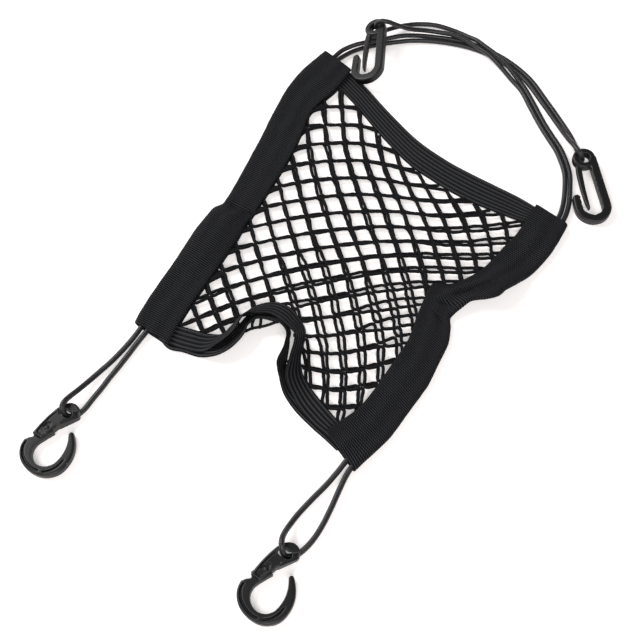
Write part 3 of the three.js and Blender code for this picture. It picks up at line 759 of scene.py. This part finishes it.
def add_elastic(name, rows, level, settle, thickness, ribs, relief, count):
    """An elastic with rounded ribs along both faces, in a number of sections along it."""
    steps = RIDGE_STEPS * ribs
    lines = [elastic_line(rows, level, settle, n / steps, count) for n in range(steps + 1)]
    sections, distance = [], 0.0
    for k in range(count + 1):
        a, b = max(k - 1, 0), min(k + 1, count)
        if k:
            distance += (lines[steps // 2][k] - lines[steps // 2][k - 1]).length
        width = (lines[-1][k] - lines[0][k]).length
        across_way = (lines[-1][k] - lines[0][k]) / width
        section = []
        for n in range(steps + 1):
            ahead = lines[n][b] - lines[n][a]
            facing = across_way.cross(ahead).normalized()
            rise = abs(math.sin(math.pi * ribs * n / steps)) ** RIDGE_ROUNDNESS
            thick = thickness / 2 + relief * (rise - MEAN_RISE)
            section.append((lines[n][k], facing, thick, thick, RIDGE * ribs * n / steps))
        sections.append((distance, section))
    piece = strip("ribbed_" + name, sections, ELASTIC_FINISH)
    finished(piece, name, slot="elastic")
    width = sum((lines[-1][k] - lines[0][k]).length for k in range(count + 1)) / (count + 1)


add_sleeve("sleeve_left", LEFT_SLEEVE)
add_sleeve("sleeve_right", RIGHT_SLEEVE)
add_elastic("elastic_top", TOP_EDGE, TOP_LEVEL, TOP_SETTLE, TOP_ELASTIC, 7, 0.75, 230)
add_elastic("elastic_front", FRONT_EDGE, FRONT_LEVEL, SETTLE, LAYER, 5, 0.45, 280)
add_elastic("elastic_back", BACK_EDGE, BACK_LEVEL, SETTLE, LAYER, 5, 0.45, 280)

# ---- Geometry Nodes ----


class Tree:
    """A Geometry Nodes tree that is built in steps, with named inputs."""

    def __init__(self, name, **sizes):
        self.group = bpy.data.node_groups.new(name, "GeometryNodeTree")
        self.add_socket("Geometry", "Geometry")
        self.sockets, self.values = {}, sizes
        for size, value in sizes.items():
            kind = {int: "Int", float: "Float"}.get(type(value), "Material")
            self.sockets[size] = self.add_socket(size, kind)
        self.add_socket("Geometry", "Geometry", "OUTPUT")
        self.given = self.group.nodes.new("NodeGroupInput").outputs

    def add_socket(self, name, kind, way="INPUT"):
        return self.group.interface.new_socket(
            name.replace("_", " "), in_out=way, socket_type="NodeSocket" + kind)

    def size(self, name):
        return self.given[name.replace("_", " ")]

    def node(self, kind, settings=None, **inputs):
        return add_node(self.group, "GeometryNode" + kind, settings, inputs)

    def joined(self, *parts):
        node = self.group.nodes.new("GeometryNodeJoinGeometry")
        for part in parts:
            self.group.links.new(part, node.inputs[0])
        return node.outputs[0]

    def ended(self, geometry):
        real = self.node("RealizeInstances", Geometry=geometry)[0]
        soft = self.node("SetShadeSmooth", Geometry=real)[0]
        done = self.node("SetMaterial", Geometry=soft, Material=self.size("Finish"))[0]
        self.group.links.new(done, self.group.nodes.new("NodeGroupOutput").inputs[0])

    def made(self, name, mesh):
        """The plain mesh that the tree makes from a mesh."""
        source = add_object(name + "_path", mesh)
        modifier = source.modifiers.new("made", "NODES")
        modifier.node_group = self.group
        for size, value in self.values.items():
            modifier[self.sockets[size].identifier] = value
        graph = bpy.context.evaluated_depsgraph_get()
        made = bpy.data.meshes.new_from_object(source.evaluated_get(graph))
        made.name = name
        source.modifiers.remove(modifier)
        bpy.data.objects.remove(source)
        return add_object(name, made)


def path_mesh(name, lines, **columns):
    """A mesh of lines in millimetres, with a list of numbers for every line and attribute."""
    points, edges = [], []
    for line in lines:
        start = len(points)
        points += [p * MM for p in line]
        edges += [(k, k + 1) for k in range(start, len(points) - 1)]
    mesh = bpy.data.meshes.new(name)
    mesh.from_pydata(points, edges, [])
    for column, values in columns.items():
        attribute = mesh.attributes.new(column, "FLOAT", "POINT")
        attribute.data.foreach_set("value", [v for line in values for v in line])
    return mesh


# In metres.
STRAND_RADIUS = 0.0013
KNOT_RADIUS = 0.0014


def net_tree():
    """Strands along the lines of a net, with a knot wherever two of them meet."""
    tree = Tree("net_strands", Strand_radius=STRAND_RADIUS, Strand_sides=8,
                Knot_radius=KNOT_RADIUS, Finish=NET_FINISH)
    thick, knot = (
        tree.node("InputNamedAttribute", {"data_type": "FLOAT"}, Name=name)[0]
        for name in ("thickness", "knot")
    )
    curve = tree.node("MeshToCurve", Mesh=tree.given["Geometry"])[0]
    ring = tree.node("CurvePrimitiveCircle", Resolution=tree.size("Strand_sides"),
                     Radius=tree.size("Strand_radius"))[0]
    scaled = tree.node("SetCurveRadius", Curve=curve, Radius=thick)[0]
    strands = tree.node("CurveToMesh", Curve=scaled, Profile_Curve=ring, Scale=thick,
                        Fill_Caps=True)[0]
    places = tree.node("MeshToPoints", Mesh=tree.given["Geometry"], Selection=knot)[0]
    ball = tree.node("MeshUVSphere", Segments=8, Rings=5,
                     Radius=tree.size("Knot_radius"))[0]
    knots = tree.node("InstanceOnPoints", Points=places, Instance=ball,
                      Scale=(1.1, 1.1, 0.95))[0]
    tree.ended(tree.joined(strands, knots))
    return tree


# ---- Net ----

# Where the net's cells lie: a row for every fourth cell one way, from -6, and in it a place for
# every fourth cell the other way, from -10.
CELL_PLACES = [
    [(-214, 21), (-183, 80), (-151, 137), (-103, 176), (-47, 197), (6, 225)],
    [(-163, -29), (-129, 24), (-99, 76), (-55, 116), (-2, 139), (49, 182)],
    [(-115, -72), (-86, -17), (-49, 30), (-3, 71), (48, 103), (94, 145)],
    [(-66, -103), (-39, -54), (-1, -8), (39, 34), (84, 67), (127, 97)],
    [(-31, -119), (-5, -76), (42, -52), (79, -11), (115, 26), (157, 56)],
    [(-1, -142), (31, -115), (72, -99), (109, -69), (147, -27), (187, 11)],
]
FIRST_CELL = (-10, -6)
CELL_STEP = 4

# How far the layers have slid apart at some places.
SLIDES = table("x y slide_x slide_y", [
    (-86, 123, 1.6, 0.1), (-21, 131, 2.6, -1.7), (33, 120, 3.0, -2.0), (85, 110, 4.5, -2.9),
    (68, 64, 5.2, -4.0), (9, 56, 2.0, -0.2), (28, -38, 3.8, 1.6), (61, 6, 8.6, -2.7),
    (79, -61, 4.2, 0.4), (-51, -31, 2.5, -0.3), (-91, 8, 2.8, 0.4), (-10, -24, 5.3, -0.4),
    (-64, 51, 2.2, -0.5),
])


def spline(values, t):
    """A smooth way through evenly spaced points, going straight on past the ends."""
    p0, p1, p2, p3, w = four_round(values, t)
    return between(p1, p2, (p2 - p0) / 2, (p3 - p1) / 2, w)


CELL_ROWS = [[Vector((x, y, 0)) for x, y in row] for row in CELL_PLACES]


def cell_place(i, j):
    """The place in plan of a place counted in cells."""
    column = [spline(row, (i - FIRST_CELL[0]) / CELL_STEP) for row in CELL_ROWS]
    return spline(column, (j - FIRST_CELL[1]) / CELL_STEP)


def inside(outline, x, y):
    """Whether a place in plan is inside an outline."""
    hit = False
    for (x0, y0), (x1, y1) in zip(outline, outline[1:] + outline[:1]):
        if (y0 > y) != (y1 > y) and x < x0 + (y - y0) * (x1 - x0) / (y1 - y0):
            hit = not hit
    return hit


def nearest(line, x, y):
    """The distance in plan from a place to a line."""
    return math.sqrt(min((p[0] - x) ** 2 + (p[1] - y) ** 2 for p in line))


# Each layer: its side (1 is upwards), how high it lies on the table, and how far its ends are
# above the middles of the top elastic and its own bottom one.
LAYERS = table("name side lying above_top above_bottom", [
    ("front", 1, 4.1, 0.6, 0.0), ("back", -1, 1.6, 0.5, 0.8),
])

# How far from its ends a net has left their height, and its thinning inside the sleeves.
END_REACH = 9
SLEEVE_REACH = (4, 9)
THIN_SHARE = 0.85

# The search for a net's edge: its steps to a cell, and the cells between which it looks.
SEARCH_STEPS = 20
SEARCH_CELLS = (-13, 18)

# A strand at a net's edge: how far out its first knot may be, how far apart the two rows may come
# out, how far its middle and its end are from there, where it starts, and its thickness.
LOOP_STEPS = 12
LOOP_KNOT, LOOP_APART = 0.4, 1.6
LOOP_OUT, LOOP_BACK = 0.08, 0.05
LOOP_START = 0.10
LOOP_SHARE = 1.15

# The numbers of the strands and rows that may meet a net, and the cells that it lies in.
STRAND_NUMBERS = range(-26, 27)
ROW_NUMBERS = range(-8, 18)
MIDDLE_CELL, FARTHEST_CELL = 2, 13

# How far a strand sways, how uneven its thickness is, and its thickness at a knot and where it
# hangs free.
SWAY = 0.8
UNEVEN = 0.12
KNOT_SHARE = 1.08
HANGING_SHARE = 0.85


class NetLayer:
    """One layer of the net, between the sleeves and the elastics."""

    def __init__(self, shape, bottom_rows, level):
        top = even_line(net_edge(TOP_EDGE, -1), 200, 8)
        bottom = even_line(net_edge(bottom_rows, 1), 200, 8)
        left = even_line(sleeve_edge(LEFT_SLEEVE, top[0], bottom[0]), 200)
        right = even_line(sleeve_edge(RIGHT_SLEEVE, top[-1], bottom[-1]), 200)
        self.top, self.bottom, self.left, self.right = (
            [(p.x, p.y) for p in line[::4]] for line in (top, bottom, left, right)
        )
        self.outline = self.top + self.right[1:] + self.bottom[::-1][1:] + self.left[::-1][1:-1]
        self.shape, self.side, self.level = shape, shape["side"], level

    def shift(self, x, y):
        """How far this layer has slid from the middle of the two."""
        total, slide = 0.0, Vector((0, 0, 0))
        for known in SLIDES:
            share = ((x - known["x"]) ** 2 + (y - known["y"]) ** 2 + 25) ** -1.6
            total += share
            slide += Vector((known["slide_x"], known["slide_y"], 0)) * share
        sway = noise.noise_vector(Vector((x, y, 0)) * 0.03 + Vector((5.1, 2.3, 0.7)))
        return (slide / total + Vector((sway.x, sway.y, 0)) * 2.4) * (self.side / 2)

    def height(self, x, y):
        """The height of the net's strands at a place, and their thickness as a share."""
        left, right = nearest(self.left, x, y), nearest(self.right, x, y)
        down = settled(min(left, right) / (left + right))
        z = self.level + (self.shape["lying"] - self.level) * down
        at_top = TOP_LEVEL - TOP_SETTLE * down + self.shape["above_top"]
        at_bottom = self.level - SETTLE * down + self.shape["above_bottom"]
        for end, edge in ((at_top, self.top), (at_bottom, self.bottom)):
            z = end + (z - end) * smoothstep(nearest(edge, x, y), 0, END_REACH)
        free = smoothstep(min(left, right), *SLEEVE_REACH)
        return z + lift(x, y), THIN_SHARE + (1 - THIN_SHARE) * free

    def slid(self, i, j):
        """The place in plan on this layer of a place counted in cells."""
        place = cell_place(i, j)
        return place + self.shift(place.x, place.y)

    def raised(self, place):
        return Vector((place.x, place.y, self.height(place.x, place.y)[0]))

    def seen_from(self, j):
        """How far along a row of cells the net comes out of the left sleeve."""
        for n in range(*(cell * SEARCH_STEPS for cell in SEARCH_CELLS)):
            x, y, _ = self.slid(n / SEARCH_STEPS, j)
            if inside(self.outline, x, y) and nearest(self.left, x, y) > NET_INSET:
                return n / SEARCH_STEPS
        return None

    def edge_loop(self, j):
        """The strand at the net's edge that runs round beside the left sleeve from one row of
        cells to the next."""
        here, below = self.seen_from(j), self.seen_from(j + 1)
        if here is None or below is None or abs(here - below) > LOOP_APART:
            return []
        knot = math.ceil(here - LOOP_KNOT) + 0.5
        way = []
        for n in range(LOOP_STEPS + 1):
            t = n / LOOP_STEPS
            i = ((1 - t) ** 2 * knot + 2 * t * (1 - t) * (below + LOOP_OUT)
                 + t * t * (below - LOOP_BACK))
            way.append(self.slid(i, j + LOOP_START + (1 - LOOP_START) * t * t))
        return way if all(inside(self.outline, p.x, p.y) for p in way) else []

    def strand(self, k):
        """The parts of one strand that are inside the net's outline: lists of places, each with
        the thickness there and whether two strands are knitted together there."""
        parts, part, past = [], [], 0
        way = stair(k)
        for n, (i, j, at_knot) in enumerate(way):
            place = self.slid(i, j)
            sway = noise.noise_vector(Vector((place.x, place.y, 5.0 * self.side)) * 0.12)
            place += Vector((sway.x, sway.y, 0)) * SWAY
            near = max(abs(i - MIDDLE_CELL), abs(j - MIDDLE_CELL)) < FARTHEST_CELL
            within = near and inside(self.outline, place.x, place.y)
            if within:
                past = 0
            elif part:
                past += 1
            if within or (part and past <= 1):
                z, share = self.height(place.x, place.y)
                share *= 1 + UNEVEN * noise.noise(Vector((place.x, place.y, 0)) * 0.25)
                part.append((Vector((place.x, place.y, z)),
                             share * (KNOT_SHARE if at_knot else 1), float(at_knot and within)))
            if part and (past > 1 or n == len(way) - 1):
                if len(part) > 3:
                    parts.append(part)
                part, past = [], 0
        return parts

    def strands(self):
        """The strands' lines, their thickness along the way and the places where two of them are
        knitted together."""
        found = [part for k in STRAND_NUMBERS for part in self.strand(k)]
        for j in ROW_NUMBERS:
            found.append([(self.raised(p), LOOP_SHARE, 0.0) for p in self.edge_loop(j + 0.5)])
        for places in HANGING_STRANDS if self.side < 0 else []:
            points = [Vector(p) for p in places]
            found.append([(on_curve(points, n / 12), HANGING_SHARE, float(n == 12))
                          for n in range(13)])
        return zip(*(zip(*part) for part in found if part))


# How far from a knot a strand begins to bend, and how far it is drawn in to the knot, in cells.
ROUNDING = 0.38
DRAWN_IN = 0.075
BEND_STEPS = 6
STAIR_CELLS = range(-14, 18)


def stair(k):
    """A strand's way in cells, one cell across and one down in turn with a round bend at each
    knot.  Each place comes with whether it is at its knot."""
    way = []
    for m in STAIR_CELLS:
        for x, y, come, leave in ((m + 0.5, m - k + 0.5, (0, 1), (1, 0)),
                                  (m + 1.5, m - k + 0.5, (1, 0), (0, 1))):
            start = (x - ROUNDING * come[0], y - ROUNDING * come[1])
            end = (x + ROUNDING * leave[0], y + ROUNDING * leave[1])
            bend = (x + DRAWN_IN * (come[0] - leave[0]), y + DRAWN_IN * (come[1] - leave[1]))
            for n in range(BEND_STEPS + 1):
                t = n / BEND_STEPS
                p, q, r = (1 - t) ** 2, 2 * t * (1 - t), t * t
                way.append((p * start[0] + q * bend[0] + r * end[0],
                            p * start[1] + q * bend[1] + r * end[1], n == BEND_STEPS // 2))
            way.append((x + 0.5 * leave[0], y + 0.5 * leave[1], False))
    return way


def add_net(shape, bottom_rows, level, tree):
    """One layer of the net, made of the strands that the tree lays along its lines."""
    name = "net_layer_" + shape["name"]
    lines, thick, knots = NetLayer(shape, bottom_rows, level).strands()
    piece = tree.made(name, path_mesh(name + "_lines", lines, thickness=thick, knot=knots))
    finished(piece, "net_" + shape["name"], slot="net")


NET_TREE = net_tree()
add_net(LAYERS[0], FRONT_EDGE, FRONT_LEVEL, NET_TREE)
add_net(LAYERS[1], BACK_EDGE, BACK_LEVEL, NET_TREE)

# ---- Hooks ----

# Strips in plan: places along the middle, and half the width there.
LOW_RING = [
    (-8.5, 13, 4.3), (-12, 6, 4.6), (-14.6, -1.5, 4.7), (-13.6, -8.5, 4.6), (-8.7, -14.1, 4.0),
    (-0.7, -16.7, 3.3), (7.3, -15, 3.5), (12.9, -9.2, 3.8), (14.2, -1.5, 3.7), (13, 5.5, 3.3),
    (10, 11.5, 2.6), (6.3, 16, 1.9),
]
TONGUE_STRIP = [
    (0.2, 41, 2.4), (-1.4, 34, 2.3), (-2.6, 18, 2.0), (-2.8, 6, 1.6), (-2.4, -0.5, 0.9),
]

# The groove round the lower hook's ring on each side of its web, and the one inside the rim of
# its head.
RING_GROOVES = [
    [(-16.9, -3.8, 0.7), (-16.2, -8.5, 0.85), (-12.3, -13.4, 0.95), (-6.6, -16.4, 0.95),
     (-0.8, -17.5, 0.9), (3.2, -17, 0.85)],
    [(7.0, -15.9, 0.85), (10.7, -12.3, 0.8), (13.2, -7.0, 0.7), (13.9, -1.5, 0.45)],
]
RIM_GROOVE = [(-11.6, 24.2, 0.35), (-13.2, 18, 0.55), (-14.0, 12, 0.6), (-14.2, 5.4, 0.6)]

# Outlines in plan on the lower hook: the lower part of its head, the panel sunk into it, the boss
# that stands in the panel, and the notch beside the ring.
HEAD_FOOT = [(-16.4, 2.5), (-9, 2.5), (-5.4, 15.5), (-4.4, 16.5), (2.2, 28)]
HEAD_PANEL = [(-14.0, 4.2), (-10.2, 4.2), (-8.0, 12.2), (-9.8, 15.4), (-12.6, 14.4)]
HEAD_BOSS = [(-11.2, 9.4), (-9.2, 10.0), (-9.8, 12.0), (-11.8, 11.4)]
NOTCH = [(-23, -4.2), (-18.6, -3.4), (-16.9, -1.0), (-15.0, 0.6), (-15.6, 4.0), (-23, 4.0)]

# The head slopes down to this floor, with a height at each corner.
SLOPE = [(-6.6, 9, 9.1), (3.6, 28.2, 4.4), (0.6, 31.5, 6.5), (-2.6, 28.8, 9.1), (-8.6, 13, 9.1)]

# Cuts start below the part or end above it.
BELOW, ABOVE = -1, 11

# The upper hooks' eye, and the radii of its hole and of the ring round it.
EYE = (5.3, 45)
HOLE_RADIUS, EYE_RADIUS = 4.7, 9.2

# Place of a hook: middle of its bend, turn about Z, roll and tilt in degrees, and how far its
# arm comes up.
HOOK_PLACES = table("node x y turn roll tilt arm", [
    ("hook_lower_left", -79, -221, 4, 0, 0, 0),
    ("hook_lower_right", 103, -212, 0, 0, 0, 0),
    ("hook_upper_left", -92.2, 189.6, 30.5, 24, 0.5, 14.5),
    ("hook_upper_right", 129.5, 177.5, 44, 3, 4, 9.6),
])


def vectors(points):
    return [Vector(p) for p in points]


def strip_outline(places, steps):
    """The outline of a strip with a round far end."""
    rows = table("x y half", places)
    count = steps * (len(rows) - 1)
    stations = [row_at(rows, n / count) for n in range(count + 1)]
    left, right = [], []
    for n, here in enumerate(stations):
        a, b = stations[max(n - 1, 0)], stations[min(n + 1, count)]
        along = Vector((b["x"] - a["x"], b["y"] - a["y"])).normalized()
        side = Vector((-along.y, along.x)) * here["half"]
        middle = Vector((here["x"], here["y"]))
        left.append(middle + side)
        right.append(middle - side)
    centre = (left[-1] + right[-1]) / 2
    start = left[-1] - centre
    tip = [centre + Matrix.Rotation(-math.pi * n / 6, 2) @ start for n in range(1, 6)]
    return left + tip + right[::-1]


def turned_round(x, y, radius, angles):
    return [Vector((x + radius * math.cos(a), y + radius * math.sin(a))) for a in angles]


def round_outline(x, y, radius, count=40):
    return turned_round(x, y, radius, [2 * math.pi * n / count for n in range(count)])


def slot_outline(x0, y0, x1, y1, radius):
    """The outline of a slot with round ends."""
    turn = math.atan2(y1 - y0, x1 - x0)
    outline = []
    for x, y, first in ((x1, y1, turn - math.pi / 2), (x0, y0, turn + math.pi / 2)):
        outline += turned_round(x, y, radius, [first + math.pi * n / 12 for n in range(13)])
    return outline


def bent(start, control, end, count=8):
    """Points after the start of a bend towards a control point."""
    a, b, c = Vector(start), Vector(control), Vector(end)
    return [a * (1 - t) ** 2 + b * 2 * t * (1 - t) + c * t**2
            for t in (n / count for n in range(1, count + 1))]


def prism(outline, low, high, edge=0.0):
    """A closed block in millimetres on an outline, its top and bottom edges rounded."""
    area = sum(a.x * b.y - b.x * a.y for a, b in zip(outline, outline[1:] + outline[:1]))
    if area < 0:
        outline = outline[::-1]
    count = len(outline)
    inwards = []
    for n, point in enumerate(outline):
        a = (point - outline[n - 1]).normalized()
        b = (outline[(n + 1) % count] - point).normalized()
        normal = Vector((-a.y - b.y, a.x + b.x)).normalized()
        inwards.append(normal / max(0.5, normal.dot(Vector((-a.y, a.x)))))
    layers = [(0.0, low), (0.0, high)]
    if edge:
        turns = [math.radians(d) for d in (0, 30, 60, 90)]
        layers = [(edge * (1 - math.sin(t)), low + edge * (1 - math.cos(t))) for t in turns]
        layers += [(inset, low + high - z) for inset, z in reversed(layers)]
    shape = bmesh.new()
    rings = [[shape.verts.new((p.x + i.x * inset, p.y + i.y * inset, z))
              for p, i in zip(outline, inwards)] for inset, z in layers]
    for lower, upper in zip(rings, rings[1:]):
        for n in range(count):
            m = (n + 1) % count
            shape.faces.new((lower[n], lower[m], upper[m], upper[n]))
    shape.faces.new(rings[0][::-1])
    shape.faces.new(rings[-1])
    bmesh.ops.triangulate(shape, faces=[f for f in shape.faces if len(f.verts) > 4])
    mesh = bpy.data.meshes.new("block")
    shape.to_mesh(mesh)
    shape.free()
    return add_object("block", mesh)


def cut(block, cutters):
    """Takes the cutters away from a block."""
    for cutter in cutters:
        difference = block.modifiers.new("cut", "BOOLEAN")
        difference.operation = "DIFFERENCE"
        difference.solver = "EXACT"
        difference.object = cutter


def plain(block):
    """The block's mesh with its modifiers made real; the block goes."""
    graph = bpy.context.evaluated_depsgraph_get()
    mesh = bpy.data.meshes.new_from_object(block.evaluated_get(graph))
    bpy.data.objects.remove(block)
    return mesh


def ramp(corners, high):
    """A closed block whose floor has its own height at each corner."""
    count = len(corners)
    points = [*corners, *((x, y, high) for x, y, z in corners)]
    faces = [tuple(range(count))[::-1], tuple(range(count, 2 * count))]
    faces += [(n, (n + 1) % count, count + (n + 1) % count, count + n) for n in range(count)]
    mesh = bpy.data.meshes.new("ramp")
    mesh.from_pydata(points, [], faces)
    return add_object("ramp", mesh)


def groove(places, low):
    return prism(strip_outline(places, 5), low, ABOVE)


def lower_hook():
    """Blocks and what is cut from each, for a ring with a tapered head."""
    head = vectors(HEAD_FOOT)
    head += bent((2.2, 28), (3.2, 34.6), (-4.5, 35.2))
    head += bent((-4.5, 35.2), (-10.5, 34.6), (-13.2, 27))
    head += bent((-13.2, 27), (-16.4, 16), (-16.4, 2.5))[:-1]
    eye = prism(slot_outline(-8.8, 26.4, -4.6, 26.4, 3.2), BELOW, 10)
    channel = prism(slot_outline(-4, 27, 3.4, 37.8, 2.9), BELOW, 5.4)
    slope = ramp(SLOPE, 12)
    rim = groove(RIM_GROOVE, 7.7)
    panel = prism(vectors(HEAD_PANEL), 7.9, ABOVE)
    boss = prism(vectors(HEAD_BOSS), 6.5, 8.9, 0.3)
    notch = prism(vectors(NOTCH), BELOW, 8)
    return [
        (prism(strip_outline(LOW_RING, 6), 0, 7, 1.7),
         [*(groove(places, 4.9) for places in RING_GROOVES), notch]),
        (prism(head, 0, 9, 1.0), [eye, channel, rim, panel, slope]),
        (boss, []),
    ]


def upper_hook(arm):
    """Blocks and what is cut from each: a strip that bends round at the bottom and comes up by its
    arm, its eye and the tongue."""
    shank, bend = 11.5, 11.1
    strip_places = [(shank, y, 3.5) for y in (45, 30, 15)]
    for degrees in (0, 22.5, 45, 67.5, 90, 112.5, 135, 157.5, 180):
        turn = -math.radians(degrees)
        strip_places.append((shank - bend + bend * math.cos(turn), bend * math.sin(turn),
                             3.5 - degrees / 360))
    strip_places += [(-10.5, arm / 2, 3.0), (-10.2, arm, 2.9)]
    blocks = [
        prism(strip_outline(strip_places, 4), 0, 7, 1.4),
        prism(round_outline(*EYE, EYE_RADIUS), 0, 7, 1.4),
        prism(strip_outline(TONGUE_STRIP, 5), 1.5, 5.5, 0.8),
    ]
    return [(block, [prism(round_outline(*EYE, HOLE_RADIUS), BELOW, 8)]) for block in blocks]


VOXEL = 0.36


def add_hook(place, blocks):
    """Joins a hook's blocks into one moulding with soft corners and puts it in its place."""
    shape = bmesh.new()
    for block, cutters in blocks:
        cut(block, cutters)
        mesh = plain(block)
        shape.from_mesh(mesh)
        bpy.data.meshes.remove(mesh)
        for cutter in cutters:
            bpy.data.objects.remove(cutter)
    turned = Euler((math.radians(place["tilt"]), math.radians(-place["roll"]),
                    math.radians(place["turn"])), "YXZ").to_matrix().to_4x4()
    shape.transform(Matrix.Scale(MM, 4) @ turned)
    low = min(v.co.z for v in shape.verts)
    node = place["node"]
    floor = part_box(node)[0][2]
    shape.transform(Matrix.Translation((place["x"] * MM, place["y"] * MM, floor - low)))
    mesh = bpy.data.meshes.new(node)
    shape.to_mesh(mesh)
    shape.free()
    moulding = add_object("moulding", mesh)
    remesh = moulding.modifiers.new("one", "REMESH")
    remesh.mode = "VOXEL"
    remesh.voxel_size = VOXEL * MM
    soften = moulding.modifiers.new("soft", "SMOOTH")
    soften.factor = 0.5
    soften.iterations = 4
    mesh = plain(moulding)
    mesh.polygons.foreach_set("use_smooth", [True] * len(mesh.polygons))
    finished(add_object("moulded_" + node, mesh, PLASTIC_FINISH), node, slot="hook_plastic")


for hook_place in HOOK_PLACES:
    lower = "lower" in hook_place["node"]
    add_hook(hook_place, lower_hook() if lower else upper_hook(hook_place["arm"]))

# ---- Studio ----


FLOOR = 6.0


def add_light(name, place, power):
    data = bpy.data.lights.new(name, "AREA")
    data.shape = "DISK"
    data.size = 1.6
    data.energy = power
    add_aimed(name, data, place, (0.01, -0.02, 0.0))


def add_studio():
    mesh = bpy.data.meshes.new("floor")
    corners = [(x * FLOOR, y * FLOOR, 0) for x, y in ((-1, -1), (1, -1), (1, 1), (-1, 1))]
    mesh.from_pydata(corners, [], [(0, 1, 2, 3)])
    floor = add_object("floor", mesh, floor_finish())
    world = bpy.data.worlds.new("studio")
    world.use_nodes = True
    sky = world.node_tree.nodes["Background"].inputs
    sky["Color"].default_value = (1, 1, 1, 1)
    sky["Strength"].default_value = 0.3
    bpy.context.scene.world = world
    bpy.context.scene.view_settings.view_transform = "Standard"
    add_light("key", (-1.9, -0.2, 1.6), 58)
    add_light("fill", (0.9, -1.2, 1.5), 32)


add_studio()
